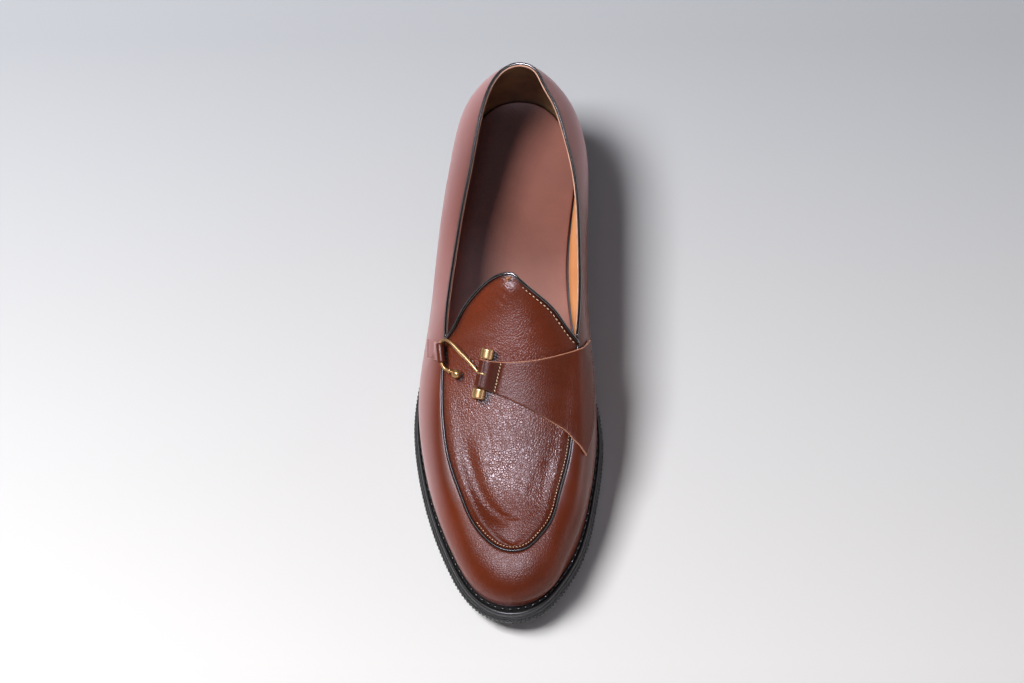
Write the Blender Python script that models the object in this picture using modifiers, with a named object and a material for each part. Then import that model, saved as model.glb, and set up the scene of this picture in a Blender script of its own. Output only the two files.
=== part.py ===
"""Slip-on loafer for the right foot: apron front, almond tongue, strap with a brass S-hook.

Metres, +Z up. The origin is on the floor under the middle of the shoe. The toe points
along -Y, the heel along +Y, the inner side of the foot is +X and the outer side -X.
Stations run along the length as shares, 0 at the back of the heel and 1 at the toe.
"""

import math

import bmesh
import bpy
import numpy as np
from mathutils import Matrix, Vector
from mathutils.bvhtree import BVHTree

# Driving dimensions
OUTSOLE_LENGTH = 0.3027
BALL_WIDTH = 0.1028
HEEL_LIFT = 0.0175
HEEL_LENGTH = 0.078
OUTSOLE_THICKNESS = 0.0085
WELT_THICKNESS = 0.0030
TOE_SPRING = 0.0090
TOE_OFFSET = 0.0018
TONGUE_OFFSET = -0.0040
HEEL_OFFSET = 0.0062
BACK_HEIGHT = 0.0820
SIDE_HEIGHT = 0.0620
TOE_BOX_HEIGHT = 0.0400
INSTEP_HEIGHT = 0.0900
UPPER_WALL = 0.0020
INSOLE_THICKNESS = 0.0058
PIPING_RADIUS = 0.0009
PIPING_START = 0.25
PIPING_TRIM = 2.2
SEAM_FADE = 2
TONGUE_PIPING_REACH = 0.55
SEAM_DEPTH = 0.0008
SEAM_HALF_WIDTH = 0.0019
EDGE_STEP = 0.0010
EDGE_STEP_HEIGHT = 0.0044
RIB_PITCH = 0.00235
RIB_DEPTH = 0.0005
HEEL_TAPER = 0.0015
WELT_INSET = 0.0008
WELT_ROUND = 0.0009
STRAP_THICKNESS = 0.0016
STRAP_SEAT = 0.0005
STRAP_HUMP = 5
BAR_RADIUS = 0.0012
KNOB_RADIUS = 0.0033
KNOB_LENGTH = 0.0054
KNOB_EDGE = 0.0008
HOOK_RADIUS = 0.0009
HOOK_BALL_RADIUS = 0.0026
LOOP_WALL = 0.0009
TAB_THICKNESS = 0.0011
TAB_SEAT = 0.0005
GAP = 0.0003

# Stations of the main points along the shoe
COLLAR_BACK = 0.026
APRON_FRONT = 0.898
NOTCH = 0.542
TONGUE_TIP = 0.449
BULGE_BACK = 0.006
BULGE_FRONT = 0.978
RIBS_FROM = 0.50

# How far each ring of the shoe is divided
COLLAR_COLUMNS = 18
APRON_COLUMNS = 15
TONGUE_COLUMNS = 7
FEATHER_ROWS = 3
WALL_ROWS = 6
ACROSS = 8
STRAP_ACROSS = 8
STRAP_STEPS = 20
FOLD_STEPS = 6
PLAIN_COLUMNS = 22
HEEL_COLUMNS = 14
MEASURING_STEPS = 400
CORD_BEVEL = 2
WIRE_STEPS = 3
WIRE_SIDES = 8
TURNING_STEPS = 14
EYE_STEPS = 16
BALL_SEGMENTS = 12
BALL_RINGS = 8
TAB_ROWS = 5
TAB_COLUMNS = 7

# Small steps for reading directions off the surfaces: a turn, levels of the wall, a station, an angle
TURN_STEP = 0.004
NEAR_LEVEL = 0.9
RISE_LEVEL = 0.93
STATION_STEP = 0.006
ANGLE_STEP = 3.0
MERGE_DISTANCE = 0.00001

# Colour, roughness and metallic share of each material
RUBBER = ((0.02, 0.02, 0.022), 0.6, 0.0)
WELT_RUBBER = ((0.025, 0.02, 0.018), 0.5, 0.0)
FOOTBED_LEATHER = ((0.24, 0.085, 0.045), 0.6, 0.0)
CALF_LEATHER = ((0.19, 0.055, 0.025), 0.4, 0.0)
DARK_LEATHER = ((0.03, 0.015, 0.01), 0.3, 0.0)
BRASS = ((0.62, 0.42, 0.16), 0.25, 1.0)

# Station, outer half width, inner half width, as shares of the length and of half the ball
SOLE_ROWS = (
    (0.040, 0.480, 0.475),
    (0.116, 0.690, 0.685),
    (0.231, 0.735, 0.690),
    (0.363, 0.800, 0.640),
    (0.429, 0.870, 0.675),
    (0.496, 0.958, 0.745),
    (0.562, 1.035, 0.840),
    (0.621, 1.065, 0.915),
    (0.690, 1.034, 0.933),
    (0.763, 0.952, 0.886),
    (0.842, 0.811, 0.800),
    (0.908, 0.648, 0.656),
    (0.955, 0.486, 0.477),
)
BULGE_ROWS = (
    (0.040, 0.465, 0.460),
    (0.093, 0.635, 0.640),
    (0.149, 0.705, 0.722),
    (0.215, 0.765, 0.746),
    (0.297, 0.823, 0.741),
    (0.380, 0.866, 0.743),
    (0.479, 0.924, 0.774),
    (0.562, 0.990, 0.826),
    (0.628, 1.003, 0.851),
    (0.700, 0.958, 0.850),
    (0.780, 0.853, 0.787),
    (0.849, 0.709, 0.682),
    (0.915, 0.529, 0.525),
    (0.955, 0.350, 0.360),
)
EDGE_ROWS = (
    (0.056, 0.285, 0.245),
    (0.093, 0.378, 0.365),
    (0.142, 0.447, 0.479),
    (0.211, 0.515, 0.590),
    (0.281, 0.588, 0.645),
    (0.357, 0.652, 0.665),
    (0.429, 0.705, 0.673),
    (0.496, 0.737, 0.662),
    (0.542, 0.740, 0.640),
    (0.628, 0.752, 0.612),
    (0.687, 0.725, 0.596),
    (0.743, 0.660, 0.550),
    (0.803, 0.529, 0.460),
    (0.856, 0.375, 0.344),
    (0.885, 0.215, 0.200),
)
TONGUE_ROWS = (
    (0.458, 0.225, 0.095),
    (0.471, 0.350, 0.200),
    (0.490, 0.480, 0.370),
    (0.515, 0.590, 0.505),
)

# Strap: share of the way from its base to its fold, then the stations of its rear and front edges
STRAP_ROWS = (
    (0.00, 0.522, 0.727),
    (0.10, 0.542, 0.707),
    (0.20, 0.556, 0.690),
    (0.30, 0.566, 0.681),
    (0.40, 0.574, 0.672),
    (0.55, 0.582, 0.659),
    (0.70, 0.585, 0.647),
    (0.85, 0.584, 0.634),
    (1.00, 0.577, 0.619),
)

# Share across the strap, then the angle round the foot, in degrees, of its base and its fold
STRAP_ANGLES = (
    (0.00, 57.0, -18.5),
    (0.25, 64.0, -20.3),
    (0.50, 67.5, -22.0),
    (0.75, 69.0, -23.6),
    (1.00, 67.0, -25.2),
)

# Height of the folded strap's top layer over its bottom one, by distance from the fold's bar
FOLD_LENGTH = 0.0130
FOLD_ROWS = ((0.0, 1.0), (0.15, 0.97), (0.31, 0.80), (0.46, 0.60), (0.58, 0.46), (0.77, 0.20), (1.0, 0.0))
UNDER_PARTS = (0.18, 0.36, 0.54)

# Hook: station, angle round the foot and height over the leather of points along the wire,
# first from the strap to the loop, then from the loop to the ball. Loop: the same for the
# underside of its two mouths. Tab: station and angle of its two far corners, the share of the
# loop left free at each end of it, and the share of its length over which it rises to the loop
HOOK_RISE = (
    (0.5893, -23.3, 0.0042),
    (0.5745, -27.3, 0.0040),
    (0.5640, -30.3, 0.0041),
    (0.5525, -33.0, 0.0046),
    (0.5445, -35.6, 0.0052),
    (0.5420, -38.9, 0.0052),
)
HOOK_RETURN = (
    (0.5860, -43.0, 0.0036),
    (0.5925, -39.6, 0.0033),
    (0.5975, -36.3, 0.0031),
)
LOOP_START = (0.5460, -41.9, 0.0030)
LOOP_END = (0.5745, -43.6, 0.0024)
TAB_START = (0.5152, -60.0)
TAB_END = (0.5574, -57.4)
TAB_MARGIN = 0.1
TAB_RISE = 0.5
GIRTH_AXIS_HEIGHT = 0.025

# Station and height share: over the side height up to the back, then over the toe box
COLLAR_HEIGHTS = ((0.026, 1.0), (0.056, 0.92), (0.093, 0.80), (0.142, 0.60), (0.211, 0.34), (0.281, 0.15),
                  (0.357, 0.04), (0.429, 0.0), (0.542, 0.0))
SEAM_HEIGHTS = ((0.542, 1.0), (0.591, 0.79), (0.631, 0.62), (0.687, 0.40), (0.743, 0.22), (0.803, 0.09),
                (0.856, 0.02), (0.898, 0.0))
RIDGE_HEIGHTS = ((0.449, 1.0), (0.496, 0.84), (0.562, 0.64), (0.628, 0.46), (0.694, 0.31), (0.760, 0.18),
                 (0.826, 0.08), (0.898, 0.005))
TONGUE_EDGE_HEIGHTS = ((0.449, 1.0, 1.0), (0.458, 0.78, 0.95), (0.471, 0.58, 0.80), (0.490, 0.36, 0.54),
                       (0.515, 0.16, 0.26), (0.542, 0.0, 0.0))
BULGE_HEIGHTS = ((0.0, 0.38), (0.35, 0.40), (0.60, 0.36), (0.75, 0.40), (0.90, 0.33), (1.0, 0.20))

# Station and the angle through which the wall rolls over from its widest line to its edge
ROLL_ANGLES = ((0.0, 22.0), (0.35, 30.0), (0.55, 48.0), (0.70, 62.0), (0.85, 74.0), (1.0, 80.0))
FEATHER_ANGLE = 55.0
CROWN_POWER = 2.0

# Station and the distance from the outsole's edge in to the upper
MARGIN_ROWS = ((0.0, 0.0046), (0.25, 0.0036), (0.45, 0.0036), (0.70, 0.0046), (0.90, 0.0058), (1.0, 0.0066))

# Station shares of the ground line: the heel seat's end, the tread's start and its end
SEAT_END = 0.26
TREAD_START = 0.60
TREAD_END = 0.73
SPRING_POWER = 1.7


def spline(rows, at, column=1):
    """Natural cubic spline through a table's rows, read at one station."""
    xs = np.array([row[0] for row in rows])
    ys = np.array([row[column] for row in rows])
    steps = np.diff(xs)
    count = len(xs)
    matrix = np.eye(count)
    right = np.zeros(count)
    for i in range(1, count - 1):
        matrix[i, i - 1:i + 2] = steps[i - 1], 2 * (steps[i - 1] + steps[i]), steps[i]
        right[i] = 6 * ((ys[i + 1] - ys[i]) / steps[i] - (ys[i] - ys[i - 1]) / steps[i - 1])
    bend = np.linalg.solve(matrix, right)
    at = min(max(at, xs[0]), xs[-1])
    i = min(max(int(np.searchsorted(xs, at)) - 1, 0), count - 2)
    part = at - xs[i]
    slope = (ys[i + 1] - ys[i]) / steps[i] - steps[i] * (2 * bend[i] + bend[i + 1]) / 6
    cubic = (bend[i + 1] - bend[i]) / (6 * steps[i])
    return float(ys[i] + slope * part + bend[i] / 2 * part ** 2 + cubic * part ** 3)


def smooth(share):
    """Ease from 0 to 1."""
    share = min(max(share, 0.0), 1.0)
    return share * share * (3 - 2 * share)


def along(station):
    """Y of a station."""
    return OUTSOLE_LENGTH * (0.5 - station)


def centre_line(station):
    return HEEL_OFFSET + (TOE_OFFSET - HEEL_OFFSET) * station


def ground(station):
    """Height of the outsole's underside: heel seat, arch, flat tread and toe spring."""
    fall = 1 - smooth((station - SEAT_END) / (TREAD_START - SEAT_END))
    rise = max(0.0, (station - TREAD_END) / (1 - TREAD_END)) ** SPRING_POWER
    return HEEL_LIFT * fall + TOE_SPRING * rise


def welt_top(station):
    return ground(station) + OUTSOLE_THICKNESS + GAP + WELT_THICKNESS


def feather(station):
    """Height of the upper's lower edge."""
    return welt_top(station) + GAP


class Outline:
    """A closed outline with its own outer and inner half widths, round at both ends."""

    def __init__(self, back, front, back_radius, front_radius, rows):
        self.back = back
        self.front = front
        span = (front - back) * OUTSOLE_LENGTH
        ends = [math.sqrt(radius * span / 2) for radius in (back_radius, front_radius)]
        self.rows = [(back, ends[0], ends[0])]
        for station, outer, inner in rows:
            roundness = self.roundness(station)
            scale = BALL_WIDTH / 2 / roundness
            self.rows.append((station, outer * scale, inner * scale))
        self.rows.append((front, ends[1], ends[1]))

    def roundness(self, station):
        share = (station - self.back) / (self.front - self.back)
        return 2 * math.sqrt(max(share * (1 - share), 0.0))

    def half(self, station, side):
        """Half width at a station: side -1 is the outer one, 1 the inner one."""
        return spline(self.rows, station, 1 if side < 0 else 2) * self.roundness(station)

    def station(self, turn):
        """Station at a turn of 0 to 2 round the outline from the back: 1 is the front."""
        return self.back + (self.front - self.back) * (1 - math.cos(math.pi * turn)) / 2

    def point(self, turn):
        """Plan point at a turn: the outer side comes first, then the inner one."""
        station = self.station(turn)
        side = -1 if turn <= 1 else 1
        x = centre_line(station) + side * self.half(station, side)
        return np.array((x, along(station)))

    def inside(self, turn, distance):
        """The point moved in from the outline at right angles to it."""
        run = self.point((turn + TURN_STEP) % 2) - self.point((turn - TURN_STEP) % 2)
        run /= np.linalg.norm(run)
        return self.point(turn) + distance * np.array((-run[1], run[0]))


SOLE = Outline(0.0, 1.0, 0.031, 0.027, SOLE_ROWS)
BULGE = Outline(BULGE_BACK, BULGE_FRONT, 0.033, 0.026, BULGE_ROWS)
EDGE = Outline(COLLAR_BACK, APRON_FRONT, 0.015, 0.017, EDGE_ROWS)


def station_of(point):
    return 0.5 - point[1] / OUTSOLE_LENGTH


def edge_height(station):
    """Height of the collar behind the notch and of the apron seam in front of it."""
    if station < NOTCH:
        return SIDE_HEIGHT + (BACK_HEIGHT - SIDE_HEIGHT) * spline(COLLAR_HEIGHTS, station)
    return TOE_BOX_HEIGHT + (SIDE_HEIGHT - TOE_BOX_HEIGHT) * spline(SEAM_HEIGHTS, station)


def ridge_height(station):
    return TOE_BOX_HEIGHT + (INSTEP_HEIGHT - TOE_BOX_HEIGHT) * spline(RIDGE_HEIGHTS, station)


def tongue_centre(station):
    """Middle of the tongue, off to the outer side at its tip."""
    share = (NOTCH - station) / (NOTCH - TONGUE_TIP)
    return centre_line(station) + TONGUE_OFFSET * max(share, 0.0)


def tongue_half(station, side):
    """Half width of the tongue, growing from its tip to the notch."""
    column = 1 if side < 0 else 2
    length = NOTCH - TONGUE_TIP
    rows = [(row[0], row[column] * BALL_WIDTH / 2 / math.sqrt((row[0] - TONGUE_TIP) / length))
            for row in TONGUE_ROWS]
    rows.append((NOTCH, EDGE.half(NOTCH, side)))
    share = (station - TONGUE_TIP) / length
    return spline(rows, station) * math.sqrt(max(share, 0.0))


def tongue_edge_height(station, side):
    share = spline(TONGUE_EDGE_HEIGHTS, station, 1 if side < 0 else 2)
    return SIDE_HEIGHT + (INSTEP_HEIGHT - SIDE_HEIGHT) * share


def notch_turn():
    """The turn at which the edge outline reaches the notch on the outer side."""
    share = (NOTCH - COLLAR_BACK) / (APRON_FRONT - COLLAR_BACK)
    return math.acos(1 - 2 * share) / math.pi


def edge_turns():
    """Turns of the upper's columns from the heel round the outer side and back."""
    notch = notch_turn()
    outer = [notch * i / COLLAR_COLUMNS for i in range(COLLAR_COLUMNS)]
    outer += [notch + (1 - notch) * i / APRON_COLUMNS for i in range(APRON_COLUMNS + 1)]
    return outer + [2 - turn for turn in reversed(outer[1:-1])]


def unit(vector):
    return vector / np.linalg.norm(vector)


def edge_point(turn):
    plan = EDGE.point(turn)
    return np.array((*plan, edge_height(EDGE.station(turn))))


def wall_point(turn, level):
    """Point of the wall: level -1 at the feather, 0 on the widest line, 1 at the edge."""
    wide_plan = BULGE.point(turn)
    share = turn if turn <= 1 else 2 - turn
    top = edge_point(turn)
    foot_plan = SOLE.inside(turn, spline(MARGIN_ROWS, share))
    foot = np.array((*foot_plan, feather(station_of(foot_plan))))
    height = foot[2] + (top[2] - foot[2]) * spline(BULGE_HEIGHTS, BULGE.station(turn))
    wide = np.array((*wide_plan, height))
    end, angle = (top, spline(ROLL_ANGLES, BULGE.station(turn))) if level > 0 else (foot, FEATHER_ANGLE)
    full = math.radians(angle)
    part = full * abs(level)
    across = (1 - math.cos(part)) / (1 - math.cos(full))
    up = math.sin(part) / math.sin(full)
    point = wide + (end - wide) * across
    point[2] = wide[2] + (end[2] - wide[2]) * up
    return point


def crown_point(plan):
    """Point of the apron and tongue over a plan point, arched across the foot."""
    station = station_of(plan)
    middle = tongue_centre(station)
    side = -1 if plan[0] < middle else 1
    if station < NOTCH:
        half = tongue_half(station, side)
        low = tongue_edge_height(station, side)
    else:
        half = EDGE.half(station, side)
        low = edge_height(station)
    share = min(abs(plan[0] - middle) / max(half, 1e-6), 1.0)
    ridge = max(ridge_height(station), low)
    return np.array((plan[0], plan[1], ridge - (ridge - low) * share ** CROWN_POWER))


def new_object(name, mesh, look):
    """Put a mesh or curve in the shoe's collection with its own material."""
    colour, roughness, metallic = look
    item = bpy.data.objects.new(name, mesh)
    bpy.data.collections["Loafer"].objects.link(item)
    material = bpy.data.materials.new(name + "_material")
    material.use_nodes = True
    shader = material.node_tree.nodes["Principled BSDF"]
    shader.inputs["Base Color"].default_value = (*colour, 1.0)
    shader.inputs["Roughness"].default_value = roughness
    shader.inputs["Metallic"].default_value = metallic
    mesh.materials.append(material)
    return item


def loft_rings(name, rings, pairs):
    """Closed body through rings of equal count, its two ends filled across the shoe."""
    shape = bmesh.new()
    loops = [[shape.verts.new(point) for point in ring] for ring in rings]
    count = len(rings[0])
    for low, high in zip(loops, loops[1:]):
        for i in range(count):
            j = (i + 1) % count
            shape.faces.new((low[i], low[j], high[j], high[i]))
    for loop in (loops[0], loops[-1]):
        fill_across(shape, loop, pairs)
    bmesh.ops.recalc_face_normals(shape, faces=shape.faces)
    mesh = bpy.data.meshes.new(name)
    shape.to_mesh(mesh)
    shape.free()
    return mesh


def fill_across(shape, loop, pairs):
    """Fill a ring with faces from its outer to its inner side, station by station."""
    for (a, b), (c, d) in zip(pairs, pairs[1:]):
        corners = [loop[a], loop[b], loop[d], loop[c]]
        distinct = [vert for i, vert in enumerate(corners) if vert not in corners[:i]]
        shape.faces.new(distinct)


def mirrored_pairs(count):
    """Index pairs of a ring's outer and inner columns at equal turns."""
    return [(i, (count - i) % count) for i in range(count // 2 + 1)]


def sole_turns():
    """Even columns round the heel and waist, then two to each rib round the forefoot."""
    start = math.acos(1 - 2 * RIBS_FROM) / math.pi
    fine = [start + (1 - start) * i / MEASURING_STEPS for i in range(MEASURING_STEPS + 1)]
    lengths = path_lengths(fine)
    ribs = max(1, round(lengths[-1] / RIB_PITCH))
    marks = np.linspace(0.0, lengths[-1], 2 * ribs + 1)
    forefoot = [float(turn) for turn in np.interp(marks, lengths, fine)]
    rest = [start * i / PLAIN_COLUMNS for i in range(PLAIN_COLUMNS)]
    outer = rest + forefoot
    return outer + [2 - turn for turn in reversed(outer[1:-1])], len(rest)


def path_lengths(turns):
    """Mean running length of the outer and inner edges over a list of turns."""
    total = [0.0]
    for a, b in zip(turns, turns[1:]):
        outer = np.linalg.norm(SOLE.point(b) - SOLE.point(a))
        inner = np.linalg.norm(SOLE.point((2 - b) % 2) - SOLE.point((2 - a) % 2))
        total.append(total[-1] + (outer + inner) / 2)
    return np.array(total)


def sole_ring(turns, inset, rise, notch=()):
    """Ring of points at an inset from the outsole's outline and a height over its underside."""
    ring = []
    for i, turn in enumerate(turns):
        depth = inset + (RIB_DEPTH if i in notch else 0.0)
        plan = SOLE.inside(turn, depth)
        ring.append((*plan, ground(station_of(plan)) + rise))
    return ring


def make_outsole():
    """Rubber sole whose edge is ribbed below and set back in a smooth step above."""
    turns, plain = sole_turns()
    count = len(turns)
    valleys = {i for i in range(plain, count // 2 + 1) if (i - plain) % 2}
    valleys |= {count - i for i in valleys}
    rings = [
        sole_ring(turns, 0.0, 0.0, valleys),
        sole_ring(turns, 0.0, EDGE_STEP_HEIGHT, valleys),
        sole_ring(turns, EDGE_STEP, EDGE_STEP_HEIGHT + EDGE_STEP / 2),
        sole_ring(turns, EDGE_STEP, OUTSOLE_THICKNESS),
    ]
    mesh = loft_rings("outsole", rings, mirrored_pairs(count))
    new_object("outsole", mesh, RUBBER)


def make_heel():
    """Heel block under the seat, cut square at the breast and tapered to the floor."""
    end = HEEL_LENGTH / OUTSOLE_LENGTH
    last = math.acos(1 - 2 * end) / math.pi
    steps = HEEL_COLUMNS
    turns = [2 - last + last * i / steps for i in range(steps)]
    turns += [last * i / steps for i in range(steps + 1)]
    rings = []
    for inset, share in ((HEEL_TAPER, 0.0), (0.0, 1.0)):
        ring = []
        for turn in turns:
            plan = SOLE.inside(turn % 2, inset + EDGE_STEP / 2)
            top = ground(station_of(plan)) - GAP
            ring.append((*plan, top * share))
        rings.append(ring)
    count = len(turns)
    pairs = [(i, count - 1 - i) for i in range(steps + 1)]
    mesh = loft_rings("heel", rings, pairs)
    new_object("heel", mesh, RUBBER)


def make_welt():
    """Flat strip on the outsole all round, its inner edge under the upper's wall."""
    turns = edge_turns()
    shape = bmesh.new()
    rings = []
    rim = WELT_INSET + EDGE_STEP
    round_start = 1 - WELT_ROUND / WELT_THICKNESS
    for inset, rise in ((rim, 0.0), (rim, round_start), (rim + WELT_ROUND, 1.0), (None, 1.0), (None, 0.0)):
        ring = []
        for turn in turns:
            share = turn if turn <= 1 else 2 - turn
            distance = spline(MARGIN_ROWS, share) + UPPER_WALL if inset is None else inset
            plan = SOLE.inside(turn, distance)
            base = ground(station_of(plan)) + OUTSOLE_THICKNESS + GAP
            ring.append(shape.verts.new((*plan, base + WELT_THICKNESS * rise)))
        rings.append(ring)
    count = len(turns)
    for low, high in zip(rings, rings[1:] + rings[:1]):
        for i in range(count):
            j = (i + 1) % count
            shape.faces.new((low[i], low[j], high[j], high[i]))
    bmesh.ops.recalc_face_normals(shape, faces=shape.faces)
    mesh = bpy.data.meshes.new("welt")
    shape.to_mesh(mesh)
    shape.free()
    new_object("welt", mesh, WELT_RUBBER)


def make_insole():
    """Footbed that fills the welt's opening and the bottom of the upper."""
    turns = edge_turns()
    rings = []
    for extra, rise in ((0.0, 0.0), (2 * GAP, 1.0)):
        ring = []
        for turn in turns:
            share = turn if turn <= 1 else 2 - turn
            plan = SOLE.inside(turn, spline(MARGIN_ROWS, share) + UPPER_WALL + 2 * GAP + extra)
            base = ground(station_of(plan)) + OUTSOLE_THICKNESS + GAP
            ring.append((*plan, base + INSOLE_THICKNESS * rise))
        rings.append(ring)
    mesh = loft_rings("insole", rings, mirrored_pairs(len(turns)))
    new_object("insole", mesh, FOOTBED_LEATHER)


def tongue_turns():
    """Shares from the tongue's tip to the notch, closer together at the round tip."""
    return [1 - math.cos(math.pi / 2 * i / TONGUE_COLUMNS) for i in range(TONGUE_COLUMNS)]


def tongue_edge(side):
    """Points of the tongue's free edge from its tip to just short of the notch."""
    points = []
    for share in tongue_turns():
        station = TONGUE_TIP + (NOTCH - TONGUE_TIP) * share
        x = tongue_centre(station) + side * tongue_half(station, side)
        points.append(np.array((x, along(station), tongue_edge_height(station, side))))
    return points


def inset_loop(loop, distance):
    """Plan points of a closed loop moved in at right angles to it."""
    moved = []
    count = len(loop)
    for i, point in enumerate(loop):
        run = unit((loop[(i + 1) % count] - loop[i - 1])[:2])
        moved.append(point[:2] + distance * np.array((-run[1], run[0])))
    return moved


class UpperSurface:
    """Outer surface of the upper as one open sheet: walls, collar, apron and tongue."""

    def __init__(self, seam_depth):
        self.seam_depth = seam_depth
        self.turns = edge_turns()
        self.columns = len(self.turns)
        front = range(COLLAR_COLUMNS, self.columns - COLLAR_COLUMNS + 1)
        self.seam_columns = list(front)
        self.verts = []
        self.faces = []
        self.build_walls()
        self.build_crown()

    def add(self, point):
        self.verts.append(np.array(point))
        return len(self.verts) - 1

    def build_walls(self):
        lip = [self.lip_level(turn) for turn in self.turns]
        self.rings = []
        for row in range(FEATHER_ROWS):
            self.rings.append([self.add(wall_point(turn, row / FEATHER_ROWS - 1)) for turn in self.turns])
        for row in range(WALL_ROWS):
            levels = [lip[i] * row / (WALL_ROWS - 1) for i in range(self.columns)]
            self.rings.append([self.add(wall_point(t, v)) for t, v in zip(self.turns, levels)])
        self.edge_normals = [self.edge_normal(i) for i in range(self.columns)]
        edge = []
        for i, turn in enumerate(self.turns):
            sink = self.seam_depth * self.seam_share(i)
            edge.append(self.add(edge_point(turn) - sink * self.edge_normals[i]))
        self.rings.append(edge)
        for low, high in zip(self.rings, self.rings[1:]):
            for i in range(self.columns):
                j = (i + 1) % self.columns
                self.faces.append((low[i], low[j], high[j], high[i]))

    def lip_level(self, turn):
        """Level of the wall's last row, a seam's half width short of the edge."""
        reach = np.linalg.norm(edge_point(turn) - wall_point(turn, NEAR_LEVEL)) / (1 - NEAR_LEVEL)
        return 1 - SEAM_HALF_WIDTH / reach

    def seam_share(self, i):
        """How deep the seam is at a column: none behind the notch, full in front of it."""
        past = min(i, self.columns - i) - COLLAR_COLUMNS
        return smooth(past / SEAM_FADE)

    def edge_normal(self, i):
        turn = self.turns[i]
        nearby = self.turns[i - 1], self.turns[(i + 1) % self.columns]
        run = edge_point(nearby[1]) - edge_point(nearby[0])
        rise = edge_point(turn) - wall_point(turn, RISE_LEVEL)
        return unit(np.cross(run, rise))

    def build_crown(self):
        """Apron and tongue: a loop of edge points, an inset loop, then rows across."""
        outer_tongue = tongue_edge(-1)
        inner_tongue = tongue_edge(1)
        seam = [self.rings[-1][i] for i in self.seam_columns]
        tip = self.add(outer_tongue[0])
        outer = [self.add(point) for point in outer_tongue[1:]]
        inner = [self.add(point) for point in inner_tongue[1:]]
        self.tongue_outer = [tip] + outer + [seam[0]]
        self.tongue_inner = [tip] + inner + [seam[-1]]
        loop = [tip] + outer + seam + inner[::-1]
        true_edge = [edge_point(self.turns[i]) for i in self.seam_columns]
        ring = outer_tongue + true_edge + inner_tongue[:0:-1]
        lips = [self.add(crown_point(plan)) for plan in inset_loop(ring, SEAM_HALF_WIDTH)]
        count = len(loop)
        for i in range(count):
            j = (i + 1) % count
            self.faces.append((loop[i], loop[j], lips[j], lips[i]))
        self.lips = dict(zip(loop, lips))
        rows = [[lips[0]]]
        for i in range(1, count // 2):
            start, end = self.verts[lips[i]], self.verts[lips[count - i]]
            middle = []
            for k in range(1, ACROSS):
                plan = start[:2] + (end - start)[:2] * k / ACROSS
                middle.append(self.add(crown_point(plan)))
            rows.append([lips[i]] + middle + [lips[count - i]])
        rows.append([lips[count // 2]])
        for near, far in zip(rows, rows[1:]):
            for k in range(ACROSS):
                corners = (near[min(k, len(near) - 1)], far[min(k, len(far) - 1)],
                           far[min(k + 1, len(far) - 1)], near[min(k + 1, len(near) - 1)])
                self.faces.append(tuple(dict.fromkeys(corners)))

    def mesh(self, name):
        mesh = bpy.data.meshes.new(name)
        mesh.from_pydata([tuple(vert) for vert in self.verts], [], self.faces)
        mesh.update()
        return mesh


def make_upper(surface):
    """The sheet thickened inwards to one hollow leather solid."""
    mesh = surface.mesh("upper")
    upper = new_object("upper", mesh, CALF_LEATHER)
    mesh.shade_smooth()
    wall = upper.modifiers.new("wall", 'SOLIDIFY')
    wall.thickness = UPPER_WALL
    wall.offset = -1.0
    return upper


def cord(name, points, radius, look):
    """Round cord along points, with closed ends."""
    curve = bpy.data.curves.new(name, 'CURVE')
    curve.dimensions = '3D'
    curve.bevel_depth = radius
    curve.bevel_resolution = CORD_BEVEL
    curve.use_fill_caps = True
    line = curve.splines.new('POLY')
    line.points.add(len(points) - 1)
    for spot, point in zip(line.points, points):
        spot.co = (*point, 1.0)
    return new_object(name, curve, look)


def rim_centre(point, below, run):
    """Centre of a cord that sits on the rim of a wall, given the point just below the rim."""
    rise = unit(point - below)
    normal = unit(np.cross(run, rise))
    return point - normal * UPPER_WALL / 2 + rise * (PIPING_RADIUS + GAP)


def make_collar_piping(surface):
    """Rolled edge on the collar from one notch round the heel to the other."""
    count = surface.columns
    edge = [edge_point(turn) for turn in surface.turns]
    below = [surface.verts[i] for i in surface.rings[-2]]
    points = []
    for i in range(-COLLAR_COLUMNS, COLLAR_COLUMNS + 1):
        run = edge[(i + 1) % count] - edge[i - 1]
        points.append(rim_centre(edge[i % count], below[i % count], run))
    trim = (PIPING_RADIUS + GAP) * PIPING_TRIM
    points[0] = points[0] + unit(points[1] - points[0]) * trim
    points[-1] = points[-1] + unit(points[-2] - points[-1]) * trim
    cord("collar_piping", points, PIPING_RADIUS, DARK_LEATHER)


def make_tongue_piping(surface):
    """Rolled edge on the tongue from one notch over the tip to the other."""
    ids = surface.tongue_inner[::-1] + surface.tongue_outer[1:]
    spots = [surface.verts[i] for i in ids]
    points = []
    for k in range(1, len(ids) - 1):
        run = spots[k + 1] - spots[k - 1]
        points.append(rim_centre(spots[k], surface.verts[surface.lips[ids[k]]], run))
    lift = points[0] - spots[1], points[-1] - spots[-2]
    points.insert(0, points[0] + (spots[0] + lift[0] - points[0]) * TONGUE_PIPING_REACH)
    points.append(points[-1] + (spots[-1] + lift[1] - points[-1]) * TONGUE_PIPING_REACH)
    cord("tongue_piping", points, PIPING_RADIUS, DARK_LEATHER)


def make_apron_piping(surface):
    """Cord in the seam between vamp and apron."""
    points = []
    for i in surface.seam_columns[1:-1]:
        bottom = surface.verts[surface.rings[-1][i]]
        points.append(bottom + surface.edge_normals[i] * (PIPING_RADIUS + GAP))
    for end, column in ((0, surface.seam_columns[0]), (-1, surface.seam_columns[-1])):
        lift = surface.edge_normals[column] * (PIPING_RADIUS + 2 * GAP)
        start = surface.verts[surface.rings[-1][column]] + lift
        start = start + (points[end] - start) * PIPING_START
        points.insert(0 if end == 0 else len(points), start)
    cord("apron_piping", points, PIPING_RADIUS, DARK_LEATHER)


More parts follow.
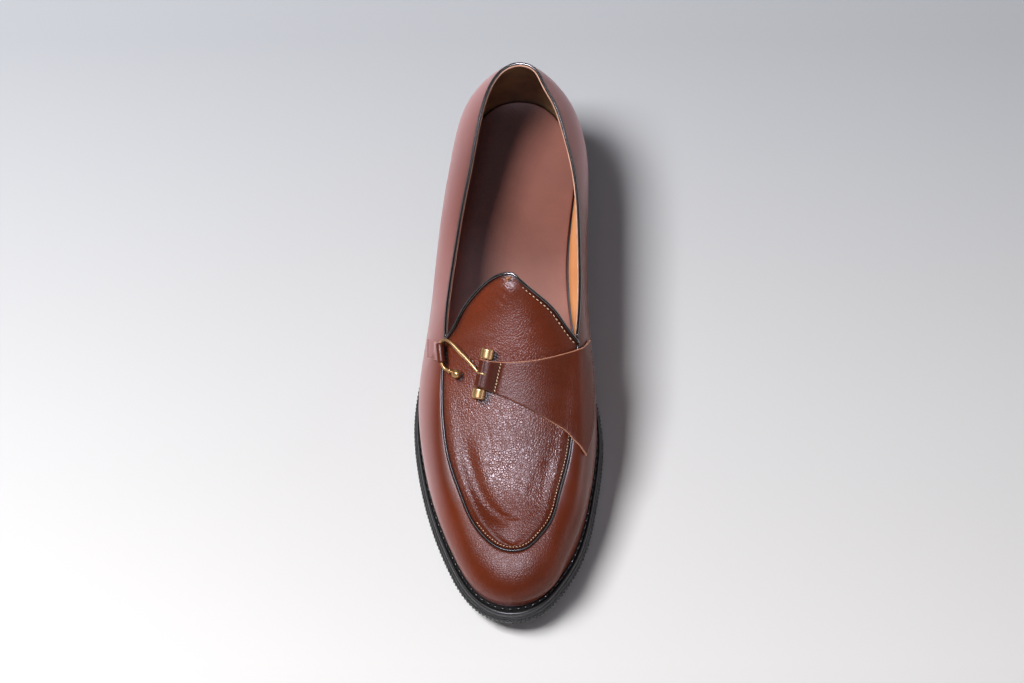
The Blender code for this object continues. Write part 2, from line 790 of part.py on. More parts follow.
class Skin:
    """Reads places over the upper by station and by angle round the foot, 0 at its top."""

    def __init__(self):
        surface = UpperSurface(0.0)
        self.tree = BVHTree.FromPolygons([tuple(vert) for vert in surface.verts], surface.faces)

    def hit(self, station, angle):
        turn = math.radians(angle)
        out = Vector((math.sin(turn), 0.0, math.cos(turn)))
        axis = Vector((0.0, along(station), GIRTH_AXIS_HEIGHT))
        return self.tree.ray_cast(axis + out * OUTSOLE_LENGTH, -out)[0]

    def difference(self, station, angle, station_step, angle_step):
        """Run between two nearby places, or to the place itself beside the open mouth."""
        here = self.hit(station, angle)
        after = self.hit(station + station_step, angle + angle_step) or here
        before = self.hit(station - station_step, angle - angle_step) or here
        return np.array(after - before)

    def normal(self, station, angle):
        run = self.difference(station, angle, -STATION_STEP, 0.0)
        turn = self.difference(station, angle, 0.0, ANGLE_STEP)
        return unit(np.cross(turn, run))

    def over(self, station, angle, height):
        return np.array(self.hit(station, angle)) + height * self.normal(station, angle)


class Strap:
    """Path of the strap over the vamp and round the bar in its folded end."""

    def __init__(self, skin):
        self.skin = skin
        self.fold_radius = BAR_RADIUS + GAP + STRAP_THICKNESS / 2
        self.low = STRAP_SEAT + STRAP_THICKNESS / 2
        self.bar_height = self.low + self.fold_radius
        ends = [self.skin.over(*self.place(self.share_at(0.0, v), v), self.bar_height) for v in (0.0, 1.0)]
        self.start, self.end = ends
        self.axis = unit(self.end - self.start)
        middle = self.place(self.share_at(0.0, 0.5), 0.5)
        normal = self.skin.normal(*middle)
        self.up = unit(normal - self.axis * np.dot(normal, self.axis))
        self.out = np.cross(self.axis, self.up)

    def place(self, share, v):
        """Station and angle at a share of the way to the fold and a share across."""
        rear = spline(STRAP_ROWS, share, 1)
        front = spline(STRAP_ROWS, share, 2)
        base = spline(STRAP_ANGLES, v, 1)
        fold = spline(STRAP_ANGLES, v, 2)
        return rear + (front - rear) * v, base + (fold - base) * share

    def share_at(self, distance, v):
        """Share of the way along a row at a distance back from the bar."""
        back = distance + self.fold_radius + STRAP_THICKNESS / 2
        end = self.skin.hit(*self.place(1.0, v))
        near = self.skin.hit(*self.place(NEAR_LEVEL, v))
        return 1.0 - (1 - NEAR_LEVEL) * back / (end - near).length

    def centre(self, v):
        return self.start + (self.end - self.start) * v

    def lifted(self, share, v, height, distance):
        """Point over the leather, drawn to the straight bar as it comes near to it."""
        point = self.skin.over(*self.place(share, v), height)
        spot = self.skin.over(*self.place(self.share_at(0.0, v), v), self.bar_height)
        return point + (self.centre(v) - spot) * smooth(1 - distance / FOLD_LENGTH)

    def seam_lift(self, share, v):
        """Extra height where the strap crosses the piping of the apron."""
        station, angle = self.place(share, v)
        station = max(station, NOTCH)
        x = centre_line(station) + EDGE.half(station, 1)
        seam = math.degrees(math.atan2(x, edge_height(station) - GIRTH_AXIS_HEIGHT))
        away = math.radians(angle - seam) * np.hypot(x, edge_height(station) - GIRTH_AXIS_HEIGHT)
        bump = 2 * PIPING_RADIUS + 3 * GAP - SEAM_DEPTH
        return bump * math.exp(-(away / (STRAP_HUMP * PIPING_RADIUS)) ** 2)

    def row(self, v):
        """Points of one row: along the top, round the bar and back underneath."""
        points = []
        last = self.share_at(FOLD_LENGTH, v)
        for i in range(STRAP_STEPS):
            share = last * i / STRAP_STEPS
            points.append(self.lifted(share, v, self.low + self.seam_lift(share, v), FOLD_LENGTH))
        for part, rise in reversed(FOLD_ROWS[1:]):
            distance = FOLD_LENGTH * part
            height = self.low + 2 * self.fold_radius * rise
            points.append(self.lifted(self.share_at(distance, v), v, height, distance))
        for i in range(FOLD_STEPS + 1):
            turn = math.pi / 2 - math.pi * i / FOLD_STEPS
            spoke = self.out * math.cos(turn) + self.up * math.sin(turn)
            points.append(self.centre(v) + self.fold_radius * spoke)
        for part in UNDER_PARTS:
            distance = FOLD_LENGTH * part
            points.append(self.lifted(self.share_at(distance, v), v, self.low, distance))
        return points


def grid_mesh(name, rows):
    """Open sheet through rows of equal count."""
    width = len(rows[0])
    faces = []
    for i in range(len(rows) - 1):
        for k in range(width - 1):
            a = i * width + k
            faces.append((a, a + 1, a + width + 1, a + width))
    mesh = bpy.data.meshes.new(name)
    mesh.from_pydata([tuple(point) for row in rows for point in row], [], faces)
    mesh.update()
    return mesh


def thicken(item, thickness):
    wall = item.modifiers.new("wall", 'SOLIDIFY')
    wall.thickness = thickness
    wall.offset = 0.0
    return item


def helper(name, mesh):
    """Object that only cuts or joins another one."""
    item = bpy.data.objects.new(name, mesh)
    bpy.data.collections["Cutters"].objects.link(item)
    item.hide_render = True
    item.display_type = 'WIRE'
    return item


def combine(item, other, operation):
    step = item.modifiers.new(other.name, 'BOOLEAN')
    step.operation = operation
    step.solver = 'EXACT'
    step.object = other


def frame_matrix(origin, x_axis, y_axis, z_axis):
    matrix = Matrix.Identity(4)
    for column, axis in enumerate((x_axis, y_axis, z_axis, origin)):
        for row in range(3):
            matrix[row][column] = axis[row]
    return matrix


def turned(item, steps):
    """Turn a profile in the XZ plane round the object's Z axis."""
    screw = item.modifiers.new("turn", 'SCREW')
    screw.steps = steps
    screw.render_steps = steps
    screw.use_merge_vertices = True
    screw.merge_threshold = MERGE_DISTANCE
    screw.use_normal_calculate = True


def profile_mesh(name, points, closed):
    edges = [(i, i + 1) for i in range(len(points) - 1)]
    if closed:
        edges.append((len(points) - 1, 0))
    mesh = bpy.data.meshes.new(name)
    mesh.from_pydata([(x, 0.0, z) for x, z in points], edges, [])
    return mesh


def make_strap(strap):
    """Tapered strap folded round its bar, with a slot in the fold for the hook."""
    rows = [strap.row(i / STRAP_ACROSS) for i in range(STRAP_ACROSS + 1)]
    item = new_object("strap", grid_mesh("strap", rows), CALF_LEATHER)
    thicken(item, STRAP_THICKNESS)
    cube = bmesh.new()
    bmesh.ops.create_cube(cube, size=1.0)
    reach = strap.fold_radius + STRAP_THICKNESS
    back = BAR_RADIUS + 2 * HOOK_RADIUS + 3 * GAP
    size = (reach + back, 2 * (HOOK_RADIUS + 2 * GAP), 2 * reach)
    bmesh.ops.scale(cube, vec=size, verts=cube.verts)
    mesh = bpy.data.meshes.new("slot")
    cube.to_mesh(mesh)
    cube.free()
    slot = helper("slot", mesh)
    middle = strap.centre(0.5) + strap.out * (reach - back) / 2
    slot.matrix_world = frame_matrix(middle, strap.out, strap.axis, strap.up)
    combine(item, slot, 'DIFFERENCE')


def make_strap_bar(strap):
    """Brass bar in the fold with a round knob at each end."""
    inner = np.linalg.norm(strap.end - strap.start) / 2 + 2 * GAP
    outer = inner + KNOB_LENGTH
    half = [(0.0, outer), (KNOB_RADIUS - KNOB_EDGE, outer), (KNOB_RADIUS, outer - KNOB_EDGE),
            (KNOB_RADIUS, inner + KNOB_EDGE), (KNOB_RADIUS - KNOB_EDGE, inner), (BAR_RADIUS, inner)]
    profile = half + [(x, -z) for x, z in reversed(half)]
    item = new_object("strap_bar", profile_mesh("strap_bar", profile, False), BRASS)
    across = np.cross(strap.axis, strap.out)
    item.matrix_world = frame_matrix(strap.centre(0.5), strap.out, across, strap.axis)
    turned(item, TURNING_STEPS)


def make_hook(strap, skin):
    """Brass S-hook: an eye on the bar, a wire over the leather and through the loop, a ball."""
    middle = strap.centre(0.5)
    eye_radius = BAR_RADIUS + GAP + HOOK_RADIUS
    route = [middle + strap.out * eye_radius]
    route += [skin.over(*row) for row in HOOK_RISE]
    start, end = loop_ends(skin)
    route += [start, (start + end) / 2, end]
    route += [skin.over(*row) for row in HOOK_RETURN]
    points = smooth_path(route, WIRE_STEPS)
    curve = cord("hook_wire", points, HOOK_RADIUS, BRASS)
    bpy.context.view_layer.update()
    mesh = bpy.data.meshes.new_from_object(curve.evaluated_get(bpy.context.evaluated_depsgraph_get()))
    bpy.data.objects.remove(curve)
    shape = bmesh.new()
    shape.from_mesh(mesh)
    bmesh.ops.remove_doubles(shape, verts=shape.verts, dist=MERGE_DISTANCE)
    shape.to_mesh(mesh)
    shape.free()
    mesh.materials.clear()
    item = new_object("hook", mesh, BRASS)
    ring = [(eye_radius + HOOK_RADIUS * math.cos(a), HOOK_RADIUS * math.sin(a))
            for a in (2 * math.pi * i / WIRE_SIDES for i in range(WIRE_SIDES))]
    eye = helper("eye", profile_mesh("eye", ring, True))
    eye.matrix_world = frame_matrix(middle, strap.out, np.cross(strap.axis, strap.out), strap.axis)
    turned(eye, EYE_STEPS)
    combine(item, eye, 'UNION')
    ball_shape = bmesh.new()
    bmesh.ops.create_uvsphere(ball_shape, u_segments=BALL_SEGMENTS, v_segments=BALL_RINGS,
                              radius=HOOK_BALL_RADIUS)
    ball_mesh = bpy.data.meshes.new("ball")
    ball_shape.to_mesh(ball_mesh)
    ball_shape.free()
    ball = helper("ball", ball_mesh)
    ball.location = route[-1]
    combine(item, ball, 'UNION')


def smooth_path(route, parts):
    """Smooth curve through hand-placed points, read at even shares between them."""
    rows = [(float(i), *point) for i, point in enumerate(route)]
    steps = (len(route) - 1) * parts
    return [np.array([spline(rows, i / parts, axis) for axis in (1, 2, 3)]) for i in range(steps + 1)]


def loop_ends(skin):
    """Middle of the loop's two mouths."""
    rise = LOOP_WALL + HOOK_RADIUS + 2 * GAP
    return [skin.over(station, angle, height + rise) for station, angle, height in (LOOP_START, LOOP_END)]


def make_hook_loop(skin):
    """Rolled leather loop round the hook and the tab that holds it on the quarter."""
    start, end = loop_ends(skin)
    axis = unit(end - start)
    bore = HOOK_RADIUS + 2 * GAP
    half = np.linalg.norm(end - start) / 2
    ring = [(bore + LOOP_WALL, half), (bore + LOOP_WALL, -half), (bore, -half), (bore, half)]
    tube = helper("loop_tube", profile_mesh("loop_tube", ring, True))
    side = unit(np.cross(axis, (0.0, 0.0, 1.0)))
    tube.matrix_world = frame_matrix((start + end) / 2, side, np.cross(axis, side), axis)
    turned(tube, TURNING_STEPS)
    rows = []
    for i in range(TAB_ROWS):
        share = i / (TAB_ROWS - 1)
        place = TAB_MARGIN + (1 - 2 * TAB_MARGIN) * share
        high = np.array(LOOP_START) + (np.array(LOOP_END) - LOOP_START) * place
        low = np.array(TAB_START) + (np.array(TAB_END) - TAB_START) * share
        row = []
        for k in range(TAB_COLUMNS):
            part = k / (TAB_COLUMNS - 1)
            under = TAB_SEAT + (high[2] - TAB_SEAT) * smooth(1 - part / TAB_RISE)
            row.append(skin.over(*(high[:2] + (low - high[:2]) * part), under + TAB_THICKNESS / 2))
        rows.append(row)
    item = new_object("hook_loop", grid_mesh("hook_loop", rows), CALF_LEATHER)
    thicken(item, TAB_THICKNESS)
    combine(item, tube, 'UNION')


def main():
    for item in list(bpy.data.objects):
        bpy.data.objects.remove(item, do_unlink=True)
    for name in ("Loafer", "Cutters"):
        bpy.context.scene.collection.children.link(bpy.data.collections.new(name))
    surface = UpperSurface(SEAM_DEPTH)
    make_outsole()
    make_heel()
    make_welt()
    make_insole()
    make_upper(surface)
    make_collar_piping(surface)
    make_tongue_piping(surface)
    make_apron_piping(surface)
    skin = Skin()
    strap = Strap(skin)
    make_strap(strap)
    make_strap_bar(strap)
    make_hook(strap, skin)
    make_hook_loop(skin)


main()
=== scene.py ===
"""Looks of the loafer: leather, piping, stitches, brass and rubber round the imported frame.

Metres, +Z up. The toe points along -Y, the inner side of the foot is +X. Stations run
along the length as shares, 0 at the back of the heel and 1 at the toe. The shapes come
from the same named sizes as the solids, read more finely.
"""

import functools
import math

import bpy
import numpy as np
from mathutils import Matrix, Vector
from mathutils.bvhtree import BVHTree


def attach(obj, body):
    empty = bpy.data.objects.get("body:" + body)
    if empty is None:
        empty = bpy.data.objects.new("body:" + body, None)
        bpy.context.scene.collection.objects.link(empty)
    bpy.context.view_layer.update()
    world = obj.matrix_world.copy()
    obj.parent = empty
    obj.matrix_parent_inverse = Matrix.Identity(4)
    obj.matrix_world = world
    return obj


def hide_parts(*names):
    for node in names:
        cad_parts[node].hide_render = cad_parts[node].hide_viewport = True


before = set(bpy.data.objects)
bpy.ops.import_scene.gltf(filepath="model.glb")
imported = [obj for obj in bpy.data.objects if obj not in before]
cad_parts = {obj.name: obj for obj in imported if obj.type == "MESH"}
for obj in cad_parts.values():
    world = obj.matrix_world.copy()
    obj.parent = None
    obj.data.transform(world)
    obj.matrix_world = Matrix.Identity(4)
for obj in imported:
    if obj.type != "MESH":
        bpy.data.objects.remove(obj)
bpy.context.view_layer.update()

# Sizes of the solids
OUTSOLE_LENGTH = 0.3027
BALL_WIDTH = 0.1028
HEEL_LIFT = 0.0175
HEEL_LENGTH = 0.078
OUTSOLE_THICKNESS = 0.0085
WELT_THICKNESS = 0.0030
TOE_SPRING = 0.0090
TOE_OFFSET = 0.0018
TONGUE_OFFSET = -0.0040
HEEL_OFFSET = 0.0062
BACK_HEIGHT = 0.0820
SIDE_HEIGHT = 0.0620
TOE_BOX_HEIGHT = 0.0400
INSTEP_HEIGHT = 0.0900
UPPER_WALL = 0.0020
INSOLE_THICKNESS = 0.0058
SEAM_HALF_WIDTH = 0.0019
EDGE_STEP = 0.0010
EDGE_STEP_HEIGHT = 0.0044
RIB_PITCH = 0.00235
RIB_DEPTH = 0.0005
HEEL_TAPER = 0.0015
WELT_INSET = 0.0008
STRAP_THICKNESS = 0.0016
BAR_RADIUS = 0.0012
KNOB_RADIUS = 0.0033
KNOB_LENGTH = 0.0054
HOOK_RADIUS = 0.0009
HOOK_BALL_RADIUS = 0.0026
LOOP_WALL = 0.0009
TAB_THICKNESS = 0.0011
GAP = 0.0003

COLLAR_BACK = 0.026
APRON_FRONT = 0.898
NOTCH = 0.542
TONGUE_TIP = 0.449
BULGE_BACK = 0.006
BULGE_FRONT = 0.978
RIBS_FROM = 0.50
FOLD_LENGTH = 0.0130
GIRTH_AXIS_HEIGHT = 0.025

# Sizes that only the looks have
PIPING = 0.0008
APRON_PIPING = 0.00072
PIPING_SUNK = 0.0004
GROOVE = 0.0012
GROOVE_POWER = 2.2
PIPING_SHIFT = 0.0003
PIPING_RISE = 0.45
LINING_EDGE = 0.0005
SEAT = 0.0002
STITCH = 0.00022
WELT_THREAD = 0.00055
BELOW_EDGE = 0.93
FOOTBED_HOLLOW = 0.0011
FLOOR_HALF = 3.0
TAB_WIDTH = 0.011
TAB_LENGTH = 0.014
BAR_CLEARANCE = 0.00075
SEAM_LIFT = 0.0009
SEAM_LIFT_SPREAD = 0.0042

# How finely the upper is drawn, and how coarsely where other pieces only rest on it
FINE = dict(collar=130, apron=120, tongue=44, feather_rows=8, wall_rows=34, groove_rows=5, across=64,
            groove=GROOVE)
COARSE = dict(collar=60, apron=56, tongue=24, feather_rows=4, wall_rows=18, groove_rows=2, across=32,
              groove=0.0)

# Station, outer half width, inner half width, as shares of the length and of half the ball
SOLE_ROWS = (
    (0.040, 0.480, 0.475), (0.116, 0.690, 0.685), (0.231, 0.735, 0.690), (0.363, 0.800, 0.640),
    (0.429, 0.870, 0.675), (0.496, 0.958, 0.745), (0.562, 1.035, 0.840), (0.621, 1.065, 0.915),
    (0.690, 1.034, 0.933), (0.763, 0.952, 0.886), (0.842, 0.811, 0.800), (0.908, 0.648, 0.656),
    (0.955, 0.486, 0.477),
)
BULGE_ROWS = (
    (0.040, 0.465, 0.460), (0.093, 0.635, 0.640), (0.149, 0.705, 0.722), (0.215, 0.765, 0.746),
    (0.297, 0.823, 0.741), (0.380, 0.866, 0.743), (0.479, 0.924, 0.774), (0.562, 0.990, 0.826),
    (0.628, 1.003, 0.851), (0.700, 0.958, 0.850), (0.780, 0.853, 0.787), (0.849, 0.709, 0.682),
    (0.915, 0.529, 0.525), (0.955, 0.350, 0.360),
)
EDGE_ROWS = (
    (0.056, 0.285, 0.245), (0.093, 0.378, 0.365), (0.142, 0.447, 0.479), (0.211, 0.515, 0.590),
    (0.281, 0.588, 0.645), (0.357, 0.652, 0.665), (0.429, 0.705, 0.673), (0.496, 0.737, 0.662),
    (0.542, 0.740, 0.640), (0.628, 0.752, 0.612), (0.687, 0.725, 0.596), (0.743, 0.660, 0.550),
    (0.803, 0.529, 0.460), (0.856, 0.375, 0.344), (0.885, 0.215, 0.200),
)
TONGUE_ROWS = ((0.458, 0.225, 0.095), (0.471, 0.350, 0.200), (0.490, 0.480, 0.370), (0.515, 0.590, 0.505))

# Strap: share of the way from its base to its fold, then the stations of its rear and front edges
STRAP_ROWS = (
    (0.00, 0.522, 0.727), (0.10, 0.542, 0.707), (0.20, 0.556, 0.690), (0.30, 0.566, 0.681),
    (0.40, 0.574, 0.672), (0.55, 0.582, 0.659), (0.70, 0.585, 0.647), (0.85, 0.584, 0.634),
    (1.00, 0.577, 0.619),
)
# Share across the strap, then the angle round the foot of its base and its fold
STRAP_ANGLES = ((0.00, 57.0, -18.5), (0.25, 64.0, -20.3), (0.50, 67.5, -22.0), (0.75, 69.0, -23.6),
                (1.00, 67.0, -25.2))
# Share of the fold's length from the bar, then how far its upper layer stands up
FOLD_ROWS = ((0.0, 1.0), (0.15, 0.96), (0.31, 0.76), (0.46, 0.46), (0.58, 0.24), (0.70, 0.08), (0.82, 0.01),
             (1.0, 0.0))

# Hook: station, angle round the foot and height over the leather
HOOK_RISE = ((0.5893, -23.3, 0.0042), (0.5745, -27.3, 0.0040), (0.5640, -30.3, 0.0041),
             (0.5525, -33.0, 0.0046), (0.5445, -35.6, 0.0052), (0.5420, -38.9, 0.0052))
HOOK_RETURN = ((0.5860, -43.0, 0.0036), (0.5925, -39.6, 0.0033), (0.5975, -36.3, 0.0031))
# Loop: station, angle and height of its underside at both mouths. Tab: its two far corners
LOOP_START = (0.5460, -41.9, 0.0030)
LOOP_END = (0.5745, -43.6, 0.0024)
TAB_START = (0.5152, -60.0)
TAB_END = (0.5574, -57.4)

# Station and height share: over the side height up to the back, then over the toe box
COLLAR_HEIGHTS = ((0.026, 1.0), (0.056, 0.92), (0.093, 0.80), (0.142, 0.60), (0.211, 0.34), (0.281, 0.15),
                  (0.357, 0.04), (0.429, 0.0), (0.542, 0.0))
SEAM_HEIGHTS = ((0.542, 1.0), (0.591, 0.79), (0.631, 0.62), (0.687, 0.40), (0.743, 0.22), (0.803, 0.09),
                (0.856, 0.02), (0.898, 0.0))
RIDGE_HEIGHTS = ((0.449, 1.0), (0.496, 0.84), (0.562, 0.64), (0.628, 0.46), (0.694, 0.31), (0.760, 0.18),
                 (0.826, 0.08), (0.898, 0.005))
TONGUE_EDGE_HEIGHTS = ((0.449, 1.0, 1.0), (0.458, 0.78, 0.95), (0.471, 0.58, 0.80), (0.490, 0.36, 0.54),
                       (0.515, 0.16, 0.26), (0.542, 0.0, 0.0))
BULGE_HEIGHTS = ((0.0, 0.38), (0.35, 0.40), (0.60, 0.36), (0.75, 0.40), (0.90, 0.33), (1.0, 0.20))
ROLL_ANGLES = ((0.0, 22.0), (0.35, 30.0), (0.55, 48.0), (0.70, 62.0), (0.85, 74.0), (1.0, 80.0))
FEATHER_ANGLE = 55.0
CROWN_POWER = 2.0
MARGIN_ROWS = ((0.0, 0.0046), (0.25, 0.0036), (0.45, 0.0036), (0.70, 0.0046), (0.90, 0.0058), (1.0, 0.0066))
SEAT_END = 0.26
TREAD_START = 0.60
TREAD_END = 0.73
SPRING_POWER = 1.7


# Shapes shared with the solids

@functools.lru_cache(maxsize=None)
def spline_parts(rows, column):
    """Places, values and bends of the natural cubic spline through a table's rows."""
    xs = np.array([row[0] for row in rows], float)
    ys = np.array([row[column] for row in rows], float)
    steps = np.diff(xs)
    count = len(xs)
    matrix = np.eye(count)
    right = np.zeros(count)
    for i in range(1, count - 1):
        matrix[i, i - 1:i + 2] = steps[i - 1], 2 * (steps[i - 1] + steps[i]), steps[i]
        right[i] = 6 * ((ys[i + 1] - ys[i]) / steps[i] - (ys[i] - ys[i - 1]) / steps[i - 1])
    return xs, ys, steps, np.linalg.solve(matrix, right)


def spline(rows, at, column=1):
    xs, ys, steps, bend = spline_parts(rows, column)
    at = np.clip(at, xs[0], xs[-1])
    i = np.clip(np.searchsorted(xs, at) - 1, 0, len(xs) - 2)
    part = at - xs[i]
    slope = (ys[i + 1] - ys[i]) / steps[i] - steps[i] * (2 * bend[i] + bend[i + 1]) / 6
    cubic = (bend[i + 1] - bend[i]) / (6 * steps[i])
    return ys[i] + slope * part + bend[i] / 2 * part ** 2 + cubic * part ** 3


def smooth(share):
    share = np.clip(share, 0.0, 1.0)
    return share * share * (3 - 2 * share)


def bell(distance, width):
    return np.exp(-(distance / width) ** 2)


def unit(vector):
    vector = np.asarray(vector, float)
    return vector / np.maximum(np.linalg.norm(vector, axis=-1, keepdims=True), 1e-12)


def along(station):
    return OUTSOLE_LENGTH * (0.5 - station)


def station_of(point):
    return 0.5 - np.asarray(point)[..., 1] / OUTSOLE_LENGTH


def centre_line(station):
    return HEEL_OFFSET + (TOE_OFFSET - HEEL_OFFSET) * station


def ground(station):
    fall = 1 - smooth((station - SEAT_END) / (TREAD_START - SEAT_END))
    rise = np.maximum(0.0, (station - TREAD_END) / (1 - TREAD_END)) ** SPRING_POWER
    return HEEL_LIFT * fall + TOE_SPRING * rise


def feather(station):
    return ground(station) + OUTSOLE_THICKNESS + WELT_THICKNESS + 2 * GAP


class Outline:
    """A closed outline with its own outer and inner half widths, round at both ends."""

    def __init__(self, back, front, back_radius, front_radius, rows):
        self.back = back
        self.front = front
        span = (front - back) * OUTSOLE_LENGTH
        ends = [math.sqrt(radius * span / 2) for radius in (back_radius, front_radius)]
        table = [(back, ends[0], ends[0])]
        for station, outer, inner in rows:
            width = BALL_WIDTH / 2 / float(self.roundness(station))
            table.append((station, outer * width, inner * width))
        table.append((front, ends[1], ends[1]))
        self.rows = tuple(table)

    def roundness(self, station):
        share = (station - self.back) / (self.front - self.back)
        return 2 * np.sqrt(np.maximum(share * (1 - share), 0.0))

    def half(self, station, side):
        outer = spline(self.rows, station, 1)
        inner = spline(self.rows, station, 2)
        return np.where(np.asarray(side) < 0, outer, inner) * self.roundness(station)

    def station(self, turn):
        return self.back + (self.front - self.back) * (1 - np.cos(np.pi * turn)) / 2

    def point(self, turn):
        turn = np.asarray(turn, float) % 2
        station = self.station(turn)
        side = np.where(turn <= 1, -1, 1)
        return np.stack([centre_line(station) + side * self.half(station, side), along(station)], -1)

    def inside(self, turn, distance):
        turn = np.asarray(turn, float)
        step = 0.004
        run = unit(self.point(turn + step) - self.point(turn - step))
        across = np.stack([-run[..., 1], run[..., 0]], -1)
        return self.point(turn) + np.asarray(distance, float)[..., None] * across


SOLE = Outline(0.0, 1.0, 0.031, 0.027, SOLE_ROWS)
BULGE = Outline(BULGE_BACK, BULGE_FRONT, 0.033, 0.026, BULGE_ROWS)
EDGE = Outline(COLLAR_BACK, APRON_FRONT, 0.015, 0.017, EDGE_ROWS)


def edge_height(station):
    collar = SIDE_HEIGHT + (BACK_HEIGHT - SIDE_HEIGHT) * spline(COLLAR_HEIGHTS, station)
    seam = TOE_BOX_HEIGHT + (SIDE_HEIGHT - TOE_BOX_HEIGHT) * spline(SEAM_HEIGHTS, station)
    return np.where(station < NOTCH, collar, seam)


def ridge_height(station):
    return TOE_BOX_HEIGHT + (INSTEP_HEIGHT - TOE_BOX_HEIGHT) * spline(RIDGE_HEIGHTS, station)


def tongue_centre(station):
    share = (NOTCH - station) / (NOTCH - TONGUE_TIP)
    return centre_line(station) + TONGUE_OFFSET * np.maximum(share, 0.0)


def tongue_table(side):
    column = 1 if side < 0 else 2
    length = NOTCH - TONGUE_TIP
    rows = [(row[0], row[column] * BALL_WIDTH / 2 / math.sqrt((row[0] - TONGUE_TIP) / length))
            for row in TONGUE_ROWS]
    rows.append((NOTCH, float(EDGE.half(NOTCH, side))))
    return tuple(rows)


TONGUE_TABLES = {-1: tongue_table(-1), 1: tongue_table(1)}


def tongue_half(station, side):
    share = np.maximum((station - TONGUE_TIP) / (NOTCH - TONGUE_TIP), 0.0)
    outer, inner = spline(TONGUE_TABLES[-1], station), spline(TONGUE_TABLES[1], station)
    return np.where(np.asarray(side) < 0, outer, inner) * np.sqrt(share)


def tongue_edge_height(station, side):
    share = np.where(np.asarray(side) < 0, spline(TONGUE_EDGE_HEIGHTS, station, 1),
                     spline(TONGUE_EDGE_HEIGHTS, station, 2))
    return SIDE_HEIGHT + (INSTEP_HEIGHT - SIDE_HEIGHT) * share


NOTCH_TURN = math.acos(1 - 2 * (NOTCH - COLLAR_BACK) / (APRON_FRONT - COLLAR_BACK)) / math.pi


def edge_turns(collar, apron):
    outer = [NOTCH_TURN * i / collar for i in range(collar)]
    outer += [NOTCH_TURN + (1 - NOTCH_TURN) * i / apron for i in range(apron + 1)]
    return np.array(outer + [2 - turn for turn in reversed(outer[1:-1])])


def fold_turn(turn):
    return np.where(turn <= 1, turn, 2 - turn)


def edge_point(turn):
    plan = EDGE.point(turn)
    return np.concatenate([plan, edge_height(EDGE.station(np.asarray(turn) % 2))[..., None]], -1)


def wall_point(turn, level):
    """Point of the wall: level -1 at the feather, 0 on the widest line, 1 at the edge."""
    turn, level = np.broadcast_arrays(np.asarray(turn, float), np.asarray(level, float))
    wide_plan = BULGE.point(turn)
    top = edge_point(turn)
    foot_plan = SOLE.inside(turn, spline(MARGIN_ROWS, fold_turn(turn)))
    foot_height = feather(station_of(foot_plan))
    station = BULGE.station(turn)
    height = foot_height + (top[..., 2] - foot_height) * spline(BULGE_HEIGHTS, station)
    high = level > 0
    end = np.where(high[..., None], top[..., :2], foot_plan)
    end_height = np.where(high, top[..., 2], foot_height)
    full = np.radians(np.where(high, spline(ROLL_ANGLES, station), FEATHER_ANGLE))
    part = full * np.abs(level)
    across = (1 - np.cos(part)) / (1 - np.cos(full))
    up = np.sin(part) / np.sin(full)
    plan = wide_plan + (end - wide_plan) * across[..., None]
    return np.concatenate([plan, (height + (end_height - height) * up)[..., None]], -1)


def crown_half(station, side):
    return np.where(station < NOTCH, tongue_half(station, side), EDGE.half(station, side))


def crown_point(plan):
    """Point of the apron and tongue over a plan point, arched across the foot."""
    plan = np.asarray(plan, float)
    station = station_of(plan)
    middle = tongue_centre(station)
    side = np.where(plan[..., 0] < middle, -1, 1)
    half = crown_half(station, side)
    low = np.where(station < NOTCH, tongue_edge_height(station, side), edge_height(station))
    share = np.minimum(np.abs(plan[..., 0] - middle) / np.maximum(half, 1e-6), 1.0)
    ridge = np.maximum(ridge_height(station), low)
    height = ridge - (ridge - low) * share ** CROWN_POWER
    return np.concatenate([plan, height[..., None]], -1)


# Mesh helpers

def set_values(mesh, values):
    """Store a number for each vertex under each name, which the materials read."""
    for key, data in values.items():
        layer = mesh.attributes.new(key, 'FLOAT', 'POINT')
        layer.data.foreach_set("value", np.asarray(data, np.float32))


def mesh_of(name, verts, faces, values=None):
    mesh = bpy.data.meshes.new(name)
    mesh.from_pydata([tuple(v) for v in np.asarray(verts, float)], [], [tuple(f) for f in faces])
    mesh.update()
    mesh.polygons.foreach_set("use_smooth", [True] * len(mesh.polygons))
    set_values(mesh, values or {})
    return mesh


def piece(mesh, material, slot, *replaced):
    """Put a finished mesh in the scene under its own name, riding on the frame."""
    item = bpy.data.objects.new(mesh.name, mesh)
    bpy.context.scene.collection.objects.link(item)
    mesh.materials.append(MATERIALS[material])
    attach(item, "root")
    if replaced:
        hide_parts(*replaced)
    return item


def grid_faces(ids, wrap=False):
    """Quads between the rows of a table of vertex numbers."""
    ids = np.asarray(ids)
    left = ids if wrap else ids[:, :-1]
    right = np.roll(ids, -1, axis=1) if wrap else ids[:, 1:]
    return np.stack([left[:-1], right[:-1], right[1:], left[1:]], -1).reshape(-1, 4).tolist()


def ring_ids(rings):
    return np.arange(len(rings) * len(rings[0])).reshape(len(rings), len(rings[0]))


def span_faces(table, flip=False):
    """Faces between the rows of a table, where a row may be one vertex many times."""
    faces = []
    for near, far in zip(table, table[1:]):
        for k in range(len(near) - 1):
            corners = (near[k], far[k], far[k + 1], near[k + 1])
            if flip:
                corners = (near[k], near[k + 1], far[k + 1], far[k])
            face = tuple(dict.fromkeys(int(corner) for corner in corners))
            if len(face) > 2:
                faces.append(face)
    return faces


